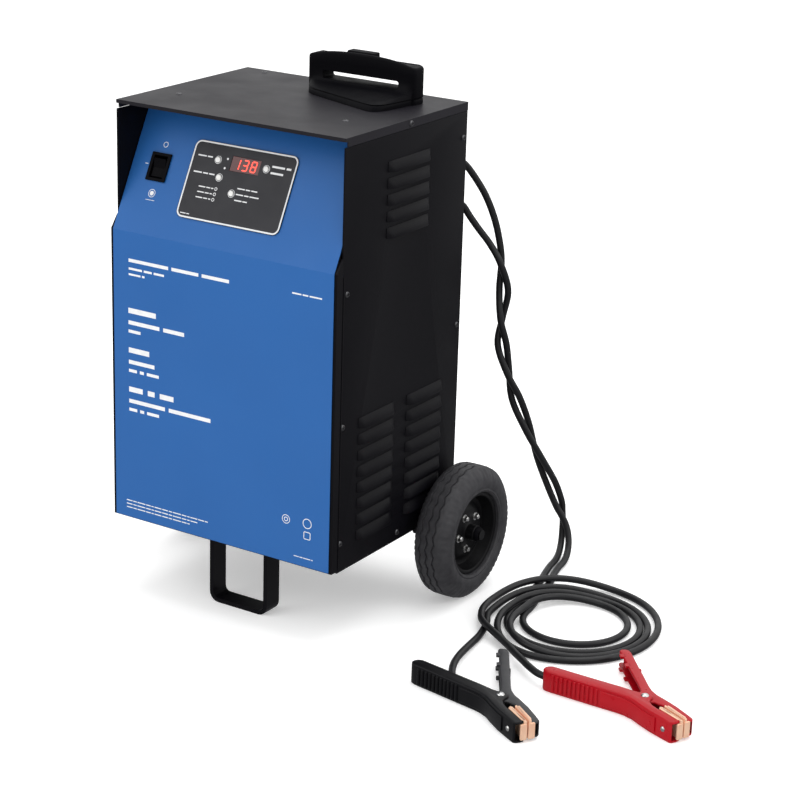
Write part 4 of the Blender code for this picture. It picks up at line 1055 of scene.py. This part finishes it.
def tyre_section(zigzag, lug):
    """The tyre's section: side, bead ring, shoulder and tread with three wandering grooves."""
    half = WHEEL_HALF
    outer = WHEEL_RADIUS
    side = [
        (RIM_RADIUS + 0.0003, half - 0.0060), (RIM_RADIUS + 0.0008, half - 0.0030),
        (RIM_RADIUS + 0.0030, half - 0.0012), (RIM_RADIUS + 0.0050, half - 0.0016),
        (RIM_RADIUS + 0.0062, half - 0.0008), (RIM_RADIUS + 0.0110, half),
        (outer - 0.0130, half - 0.0004), (outer - 0.0080, half - 0.0026 - lug),
        (outer - 0.0035, half - 0.0062 - lug), (outer - 0.0012, half - 0.0088),
    ]
    tread = []
    for groove in (0.0085, 0.0, -0.0085):
        middle = groove + zigzag
        tread += [
            (outer - 0.0002 * abs(groove) / 0.0085, middle + 0.0014), (outer - 0.0020, middle + 0.0007),
            (outer - 0.0020, middle - 0.0007), (outer - 0.0002 * abs(groove) / 0.0085, middle - 0.0014),
        ]
    return side + tread + [(r, -z) for r, z in reversed(side)]


def tyre_mesh():
    """The tyre, its grooves wandering from side to side and its shoulders lugged."""
    steps = 180
    verts, faces = [], []
    for step in range(steps):
        a = math.tau * step / steps
        zigzag = 0.0013 * (abs((step % 6) - 3) / 1.5 - 1)
        lug = 0.0009 if step % 3 == 0 else 0.0
        section = tyre_section(zigzag, lug)
        verts += [(r * math.cos(a), r * math.sin(a), z) for r, z in section]
    rows = len(section)
    for step in range(steps):
        here, there = step * rows, (step + 1) % steps * rows
        faces += [(here + i, there + i, there + (i + 1) % rows, here + (i + 1) % rows) for i in range(rows)]
    return mesh_of("tyre", verts, faces)


def rim_mesh():
    """The pressed rim: a rolled edge, a deep barrel, a dished disc and the hub."""
    half = 0.0170
    profile = [
        (0.0063, 0.0200), (0.0088, 0.0200), (0.0094, 0.0194), (0.0096, 0.0100), (0.0125, 0.0082),
        (0.0255, 0.0078), (0.0290, 0.0068), (0.0330, 0.0030), (0.0365, 0.0022), (0.0400, 0.0035),
        (0.0430, 0.0120), (0.0440, half - 0.001),
        (0.0455, half), (0.0478, half), (0.0485, half - 0.0008), (0.0485, -half + 0.0008), (0.0478, -half),
        (0.0455, -half), (0.0430, -0.0060), (0.0330, 0.0000), (0.0200, -0.0020), (0.0115, -0.0035),
        (0.0115, -0.0200), (0.0063, -0.0200), (0.0063, 0.0200),
    ]
    return lathe(profile, 96)


def wheel_bolts():
    """The five bolts on the disc, each on its washer."""
    bolt = lathe([(0.0, 0.0052), (0.0024, 0.0052), (0.0031, 0.0046), (0.0034, 0.0038), (0.0034, 0.0)], 6)
    washer = lathe([(0.0, 0.0008), (0.0046, 0.0008), (0.0048, 0.0)], 24)
    bolts = []
    for number in range(5):
        a = math.radians(61 + 72 * number)
        spot = Matrix.Translation((0.0205 * math.cos(a), 0.0205 * math.sin(a), 0.0078))
        bolts += [at(bolt, spot), at(washer, spot)]
    return merged("bolts", bolts)


CAP_PROFILE = [
    (0.0, 0.0066), (0.0045, 0.0060), (0.0074, 0.0042), (0.0084, 0.0018), (0.0086, 0.0), (0.0061, 0.0),
]


def wheels():
    """Both wheels: tyre, rim, bolts and cap."""
    tyre, rim, bolts = tyre_mesh(), rim_mesh(), wheel_bolts()
    cap = lathe(CAP_PROFILE, 40)
    for name, side in (("left", -1), ("right", 1)):
        place, body = wheel_frame(side), f"wheel_{name}"
        for part, mesh, look in (("tyre", tyre, "tyre_rubber"), ("rim", rim, "wheel_steel")):
            thing = shown(f"{part}_{name}_seen", at(mesh, place), LOOKS[look])
            placed(thing, body, look, f"{part}_{name}")
        placed(shown(f"wheel_bolts_{name}", at(bolts, place), LOOKS["zinc"]), body, "zinc")
        end = place @ Matrix.Translation((0, 0, 0.0203))
        thing = shown(f"axle_cap_{name}", at(cap, end), LOOKS["black_plastic"])
        placed(thing, "cabinet", "zinc", f"axle_nut_{name}")


# ---- Handle ----

def d_outline(front, corner, bow, sides=40):
    """A handle section seen from above: straight back, round corners and a front that bows forwards."""
    half = HANDLE_HALF_WIDTH
    back = HANDLE_Y + HANDLE_HALF_DEPTH
    points = arc((half - corner, back - corner), corner, 0, 90, 6)
    points += arc((-half + corner, back - corner), corner, 90, 180, 6)
    points += arc((-half + corner, front + corner), corner, 180, 250, 5)
    reach = half - corner * 0.7
    for i in range(1, sides):
        t = i / sides * 2 - 1
        points.append((t * reach, front - bow * (1 - abs(t) ** 11) * (1 + BOW_LEAN * t)))
    points += arc((half - corner, front + corner), corner, 290, 360, 5)
    return [(HANDLE_X + x, y) for x, y in points]


def stacked(levels):
    """A closed skin through outlines at rising heights, each a list of corners."""
    verts, faces = [], []
    rows = len(levels[0])
    for level in levels:
        verts += level
    for row in range(len(levels) - 1):
        for i in range(rows):
            here, beside = row * rows + i, row * rows + (i + 1) % rows
            faces.append((here, beside, beside + rows, here + rows))
    faces.append(tuple(reversed(range(rows))))
    faces.append(tuple((len(levels) - 1) * rows + i for i in range(rows)))
    return mesh_of("stacked", verts, faces)


def level_of(z, inset, bow, crowned=0.0):
    """One level of the handle: its outline at a height, drawn in by an inset, following the crown."""
    points = []
    centre_y = HANDLE_Y - bow / 2
    for x, y in d_outline(HANDLE_Y - HANDLE_HALF_DEPTH, 0.0050, bow):
        t = (x - HANDLE_X) / HANDLE_HALF_WIDTH
        x -= math.copysign(min(inset, abs(x - HANDLE_X)), x - HANDLE_X)
        y -= math.copysign(min(inset, abs(y - centre_y)), y - centre_y)
        drop = 0.0036 * abs(t) ** 4
        points.append((x, y, z + crowned * (LOOP_CROWN * (1 - t * t) - drop)))
    return points


# Levels of the loop's foot, where the bow draws back into the upright: height, inset and bow
LOOP_FOOT = [
    (0.0, 0.0004, 0.0368), (0.0004, 0.0, 0.0368), (0.0020, 0.0, 0.0320), (0.0035, 0.0, 0.0240),
    (0.0050, 0.0, 0.0150), (0.0062, 0.0, 0.0080), (0.0074, 0.0, 0.0035), (0.0110, 0.0, 0.0006),
    (0.0180, 0.0, 0.0),
]
# Levels of its rounded top: depth under the top and inset
LOOP_CREST = [(0.0028, 0.0), (0.0012, 0.0006), (0.0003, 0.0017), (0.0, 0.0032)]
POCKET_GAP = 0.0003


def handle():
    """The collar on the lid, and the loop that drops onto it as one smooth body."""
    collar = stacked([
        level_of(TOP_Z + 0.0003, 0.0, 0.0395), level_of(TOP_Z + 0.0030, 0.0, 0.0388),
        level_of(BASE_TOP_Z - 0.0004, 0.0001, 0.0372), level_of(BASE_TOP_Z, 0.0004, 0.0370),
    ])
    thing = shown("handle_base_seen", collar, LOOKS["black_plastic"])
    placed(thing, "cabinet", "black_plastic", "handle_base")
    levels = [level_of(LOOP_BOTTOM_Z + rise, inset, bow) for rise, inset, bow in LOOP_FOOT]
    levels.append(level_of(LOOP_BOTTOM_Z + (LOOP_TOP_Z - LOOP_BOTTOM_Z) * 0.70, 0.0, 0.0, 0.5))
    levels += [level_of(LOOP_TOP_Z - depth, inset, 0.0, 1.0) for depth, inset in LOOP_CREST]
    loop = stacked(levels)
    low, high, half = SLOT
    outline = round_rectangle((HANDLE_X - half, low), (HANDLE_X + half, high), SLOT_ROUND)
    loop = cut(loop, drawn([outline], -0.10, 0.03, 0.0, FROM_FRONT), 0.0)
    half_long, half_wide = BUTTON_HALF + POCKET_GAP, 0.0065 + POCKET_GAP
    pocket = round_rectangle(
        (BUTTON_X - half_long, HANDLE_Y - half_wide), (BUTTON_X + half_long, HANDLE_Y + half_wide), 0.002
    )
    loop = cut(loop, drawn([pocket], LOOP_TOP_Z - 0.0080, LOOP_TOP_Z + 0.02), 0.0)
    thing = shown("handle_grip_seen", tidied(loop, 45), LOOKS["black_plastic"])
    soften(thing, 0.0009, 2, 50)
    placed(thing, "handle", "black_plastic", "handle_grip")


def handle_key():
    """The release button, crowned like the loop it sits in."""
    outline = round_rectangle((-BUTTON_HALF, -0.0065), (BUTTON_HALF, 0.0065), 0.0022)
    place = Matrix.Translation((BUTTON_X, HANDLE_Y, LOOP_TOP_Z))
    mesh = drawn([outline], -0.0035, BUTTON_TOP, 0.0016, place, 4)
    thing = shown("handle_button_seen", mesh, LOOKS["black_plastic"])
    placed(thing, "handle_release", "black_plastic", "handle_button")


# ---- Clamps, each in its own frame: origin on the pivot, jaws towards +X ----

ARM_OUTLINE = [
    (0.0620, -0.0030), (0.0628, -0.0075), (0.0622, -0.0125), (0.0600, -0.0148), (0.0500, -0.0160),
    (0.0300, -0.0175), (0.0120, -0.0172), (0.0000, -0.0165), (-0.0110, -0.0182), (-0.0200, -0.0215),
    (-0.0450, -0.0330), (-0.0700, -0.0442), (-0.0900, -0.0534), (-0.0960, -0.0558), (-0.1005, -0.0564),
    (-0.1040, -0.0545), (-0.1060, -0.0505),
    (-0.1056, -0.0465), (-0.1030, -0.0425), (-0.0985, -0.0402), (-0.0640, -0.0243), (-0.0300, -0.0085),
    (-0.0140, -0.0020), (-0.0085, 0.0015), (-0.0060, 0.0055), (-0.0015, 0.0082), (0.0030, 0.0080),
    (0.0068, 0.0050), (0.0085, 0.0010), (0.0120, -0.0035), (0.0200, -0.0060), (0.0300, -0.0065),
    (0.0420, -0.0030),
]
ARM_HOLLOW = [
    (0.0700, 0.0150), (0.0700, -0.0123), (0.0300, -0.0151), (0.0000, -0.0141), (-0.0190, -0.0187),
    (-0.0955, -0.0534), (-0.1120, -0.0534), (-0.1120, -0.0300), (-0.0300, 0.0150),
]
# The short arm's flanges are narrower, so that its web shows between them
SHORT_ARM_OUTLINE = ARM_OUTLINE[:17] + [
    (-0.1052, -0.0478), (-0.1020, -0.0455), (-0.0960, -0.0438), (-0.0640, -0.0292), (-0.0330, -0.0155),
    (-0.0180, -0.0085), (-0.0110, -0.0010), (-0.0075, 0.0048),
] + ARM_OUTLINE[26:]
THUMB_PATH = [
    (-0.0370, -0.0293), (-0.0200, -0.0215), (-0.0110, -0.0182), (0.0000, -0.0165), (0.0120, -0.0172),
    (0.0300, -0.0175), (0.0390, -0.0168),
]
ARM_REAR = Vector((-0.0960, -0.0560))
ARM_WAIST = Vector((-0.0200, -0.0215))


def clamp_frame(colour):
    """A clamp's own frame on the floor."""
    clamp = CLAMPS[colour]
    return Matrix.Translation((*clamp["pivot"], 0.0)) @ Matrix.Rotation(clamp["turn"], 4, "Z")


def in_place(mesh, colour, moving):
    """Move a clamp half's mesh to the floor, mirrored when it is the moving half."""
    if moving:
        mesh.transform(Matrix.Scale(-1, 4, (0, 1, 0)))
        mesh.flip_normals()
    mesh.transform(clamp_frame(colour))


def part_name(colour, moving):
    """The start of the names of a clamp half's pieces."""
    return f"{colour}_{'moving' if moving else 'fixed'}"


def half_body(colour, moving):
    """The body that a clamp half rides on."""
    return f"{colour}_jaw" if moving else "cabinet"


def along_arm(share):
    """A frame on the arm's outer side: X along the arm to the jaws, Y up, Z out of the side."""
    spot = ARM_REAR.lerp(ARM_WAIST, share)
    run = (ARM_WAIST - ARM_REAR).normalized()
    return Matrix((
        (run.x, 0.0, run.y, spot.x), (run.y, 0.0, -run.x, spot.y),
        (0.0, 1.0, 0.0, CLAMP_HEIGHT / 2), (0, 0, 0, 1),
    ))


def arm_details(height, moving):
    """Ribs and a raised thumb panel on a long arm's outer side, or a band and barbs on a short arm."""
    length = (ARM_WAIST - ARM_REAR).length
    if moving:
        band = round_rectangle((length * 0.50, -height * 0.5), (length * 0.55, height * 0.5), 0.0006)
        meshes = [drawn([band], -0.0010, 0.0008, 0.0004, along_arm(0.0))]
        for share in (0.10, 0.38):
            for z in (-height * 0.5, height * 0.5 - 0.0026):
                low = (length * share - 0.0035, z, -0.0140)
                meshes.append(block(low, (low[0] + 0.0070, z + 0.0026, -0.0080), along_arm(0.0)))
        return meshes
    meshes = []
    for rib in range(11):
        bar = drawn([arc((0.0, 0.0), 0.0019, 0, 345, 20)], -height * 0.40, height * 0.40, 0.0006)
        bar.transform(along_arm(0.09 + 0.063 * rib) @ Matrix.Rotation(math.radians(90), 4, "X"))
        meshes.append(bar)
    outside = [(x + 0.0004, y - 0.0013) for x, y in THUMB_PATH]
    inside = [(x, y + 0.0012) for x, y in reversed(THUMB_PATH)]
    middle, half = CLAMP_HEIGHT / 2, height * 0.34
    meshes.append(drawn([outside + inside], middle - half, middle + half, 0.0009))
    return meshes


def clamp_arm(colour, moving):
    """One moulded arm: a round-edged channel with its grip details."""
    inset = 0.0028 if moving else 0.0
    low, high = inset, CLAMP_HEIGHT - inset
    body = drawn([SHORT_ARM_OUTLINE if moving else ARM_OUTLINE], low, high, 0.0016)
    body = cut(body, drawn([ARM_HOLLOW], low + 0.0026, high - 0.0026), 0.0)
    parts = [body] + arm_details(high - low, moving)
    mesh = merged("arm", parts)
    in_place(mesh, colour, moving)
    name = f"{part_name(colour, moving)}_arm"
    look = GREY_ARM if moving and colour == "black" else LOOKS[f"{colour}_clamp_plastic"]
    thing = shown(f"{name}_seen", tidied(mesh), look)
    soften(thing, 0.0004, 2, 50)
    placed(thing, half_body(colour, moving), f"{colour}_clamp_plastic", name)


def clamp_jaw(colour, moving):
    """A toothed copper jaw: its plate, a lip over the arm's tip and a strip that runs back on top."""
    teeth = []
    for tooth in range(11):
        x = 0.0300 + tooth * 0.0029
        teeth += [(x, -0.0023), (x + 0.00145, -0.0010)]
    outline = [
        (0.0290, -0.0023), *teeth, (0.0625, -0.0023), (0.0640, -0.0012), (0.0640, -0.0030),
        (0.0634, -0.0042), (0.0290, -0.0042),
    ]
    plate = drawn([outline], 0.0032, CLAMP_HEIGHT + 0.0007, 0.0002)
    lip_outline = round_rectangle((-0.0082, 0.0035), (-0.0008, 0.0212), 0.0012)
    lip = drawn([lip_outline], 0.0622, 0.0645, 0.0005, ALONG_X)
    strip_outline = [
        (0.0310, -0.0064), (0.0600, -0.0054), (0.0634, -0.0020), (0.0340, -0.0022), (0.0310, -0.0034),
    ]
    strip = drawn([strip_outline], CLAMP_HEIGHT - 0.0002, CLAMP_HEIGHT + 0.0007, 0.0002)
    mesh = merged("jaw", [plate, lip, strip])
    in_place(mesh, colour, moving)
    name = f"{part_name(colour, moving)}_jaw"
    thing = shown(f"{name}_seen", tidied(mesh), LOOKS["jaw_copper"])
    placed(thing, half_body(colour, moving), "jaw_copper", name)


def clamp_rivets(colour):
    """The rivets that hold the copper to each arm, and the pivot pin's domed head."""
    head = lathe([(0.0, 0.0016), (0.0015, 0.0014), (0.0027, 0.0007), (0.0031, 0.0)], 32)
    pin = lathe([
        (0.0, 0.0020), (0.0018, 0.0018), (0.0034, 0.0011), (0.0042, 0.0), (0.0024, 0.0),
        (0.0024, -0.0236), (0.0, -0.0236),
    ], 40)
    base = clamp_frame(colour)
    top = base @ Matrix.Translation((0, 0, CLAMP_HEIGHT + 0.0003))
    pin_thing = shown(f"{colour}_clamp_pin_seen", at(pin, top), LOOKS["zinc"])
    placed(pin_thing, "cabinet", "zinc", f"{colour}_clamp_pin")
    for moving, side in ((False, -1), (True, 1)):
        face = base @ Matrix.Translation((0.0500, side * 0.0158, CLAMP_HEIGHT / 2))
        rivet = at(head, face @ Matrix.Rotation(math.radians(-90 * side), 4, "X"))
        thing = shown(f"{part_name(colour, moving)}_rivet", rivet, LOOKS["zinc"])
        placed(thing, half_body(colour, moving), "zinc")


def clamps():
    """Both clamps."""
    for colour in CLAMPS:
        for moving in (False, True):
            clamp_arm(colour, moving)
            clamp_jaw(colour, moving)
        clamp_rivets(colour)


# ---- Back ----

def glands():
    """The cable glands: a round collar outside the panel and a ribbed, tapered tail."""
    tail = [(0.0043, 0.0300), (0.0060, 0.0300), (0.0063, 0.0292)]
    for rib in range(6):
        z = 0.0285 - rib * 0.0030
        radius = 0.0063 + rib * 0.00022
        tail += [(radius, z), (radius, z - 0.0016)]
        tail += [(radius - 0.0010, z - 0.0019), (radius - 0.0010, z - 0.0028)]
    tail += [
        (0.0076, 0.0100), (0.0115, 0.0085), (0.0120, 0.0078), (0.0120, 0.0003), (0.0082, 0.0003),
        (0.0082, -0.0100), (0.0043, -0.0100),
    ]
    for colour, place in GLAND_PLACE.items():
        spot = Matrix.Translation((place[0], BACK_Y, place[2])) @ Matrix.Rotation(math.radians(-90), 4, "X")
        thing = shown(f"{colour}_gland_seen", lathe(tail, 48, spot), LOOKS["black_plastic"])
        placed(thing, "cabinet", "black_plastic", f"{colour}_cable_gland")


# ---- Stage ----

def camera():
    """The camera, in front and to the right of the charger and a little above it."""
    azimuth, elevation, roll = CAMERA_AZIMUTH, CAMERA_ELEVATION, CAMERA_ROLL
    level = Vector((math.cos(azimuth), math.sin(azimuth), 0.0))
    back = Vector((
        math.sin(azimuth) * math.cos(elevation), -math.cos(azimuth) * math.cos(elevation), math.sin(elevation)
    ))
    upright = back.cross(level)
    right = level * math.cos(roll) + upright * math.sin(roll)
    up = back.cross(right)
    data = bpy.data.cameras.new("camera")
    data.lens = CAMERA_LENS
    data.sensor_width = 36.0
    data.clip_start = 0.05
    data.clip_end = 100.0
    thing = bpy.data.objects.new("camera", data)
    bpy.context.scene.collection.objects.link(thing)
    thing.matrix_world = Matrix.Translation(CAMERA_PLACE) @ Matrix((right, up, back)).transposed().to_4x4()
    bpy.context.scene.camera = thing


def soft_light(name, place, aim, size, power):
    """A large square lamp that faces a point."""
    data = bpy.data.lights.new(name, "AREA")
    data.shape = "SQUARE"
    data.size = size
    data.energy = power
    thing = bpy.data.objects.new(name, data)
    bpy.context.scene.collection.objects.link(thing)
    thing.location = place
    thing.rotation_euler = (Vector(aim) - Vector(place)).to_track_quat("-Z", "Y").to_euler()


def studio():
    """A pale floor, a pale surround and soft light from above and both sides."""
    mesh = bpy.data.meshes.new("studio_floor")
    mesh.from_pydata([(-20, -20, 0), (20, -20, 0), (20, 20, 0), (-20, 20, 0)], [], [(0, 1, 2, 3)])
    paper = grain(finish("studio_paper", (0.92, 0.92, 0.92), 0.90), 0.004, 0.00002)
    shader = paper.node_tree.nodes["Principled BSDF"]
    shader.inputs["Emission Color"].default_value = (1.0, 1.0, 1.0, 1.0)
    shader.inputs["Emission Strength"].default_value = FLOOR_GLOW
    floor = shown("studio_floor", mesh, paper)
    floor.visible_glossy = False
    world = bpy.data.worlds.new("studio")
    world.use_nodes = True
    nodes, links = world.node_tree.nodes, world.node_tree.links
    place = nodes.new("ShaderNodeTexCoord")
    parts = nodes.new("ShaderNodeSeparateXYZ")
    ramp = nodes.new("ShaderNodeValToRGB")
    ramp.color_ramp.elements[0].position = 0.44
    ramp.color_ramp.elements[0].color = (0.30, 0.30, 0.31, 1.0)
    ramp.color_ramp.elements[1].position = 0.62
    ramp.color_ramp.elements[1].color = (1.0, 1.0, 1.0, 1.0)
    scale = nodes.new("ShaderNodeMapRange")
    scale.inputs["From Min"].default_value = -1.0
    scale.inputs["From Max"].default_value = 1.0
    links.new(place.outputs["Generated"], parts.inputs["Vector"])
    links.new(parts.outputs["Z"], scale.inputs["Value"])
    links.new(scale.outputs["Result"], ramp.inputs["Fac"])
    links.new(ramp.outputs["Color"], nodes["Background"].inputs["Color"])
    nodes["Background"].inputs["Strength"].default_value = 1.02
    bpy.context.scene.world = world
    middle = (0.1, 0.0, 0.3)
    soft_light("key", (-1.4, -2.6, 2.4), middle, 2.4, 24.0)
    soft_light("right", (2.8, 0.6, 1.7), middle, 1.2, 12.0)
    soft_light("top", (0.1, 0.6, 3.0), middle, 2.6, 36.0)
    bpy.context.scene.view_settings.view_transform = "Standard"


dress_cad_nodes()
side_panels()
cabinet_screws()
seams()
front_print()
slope_print()
control_print()
digits()
wheels()
handle()
handle_key()
clamps()
glands()
cables()
camera()
studio()
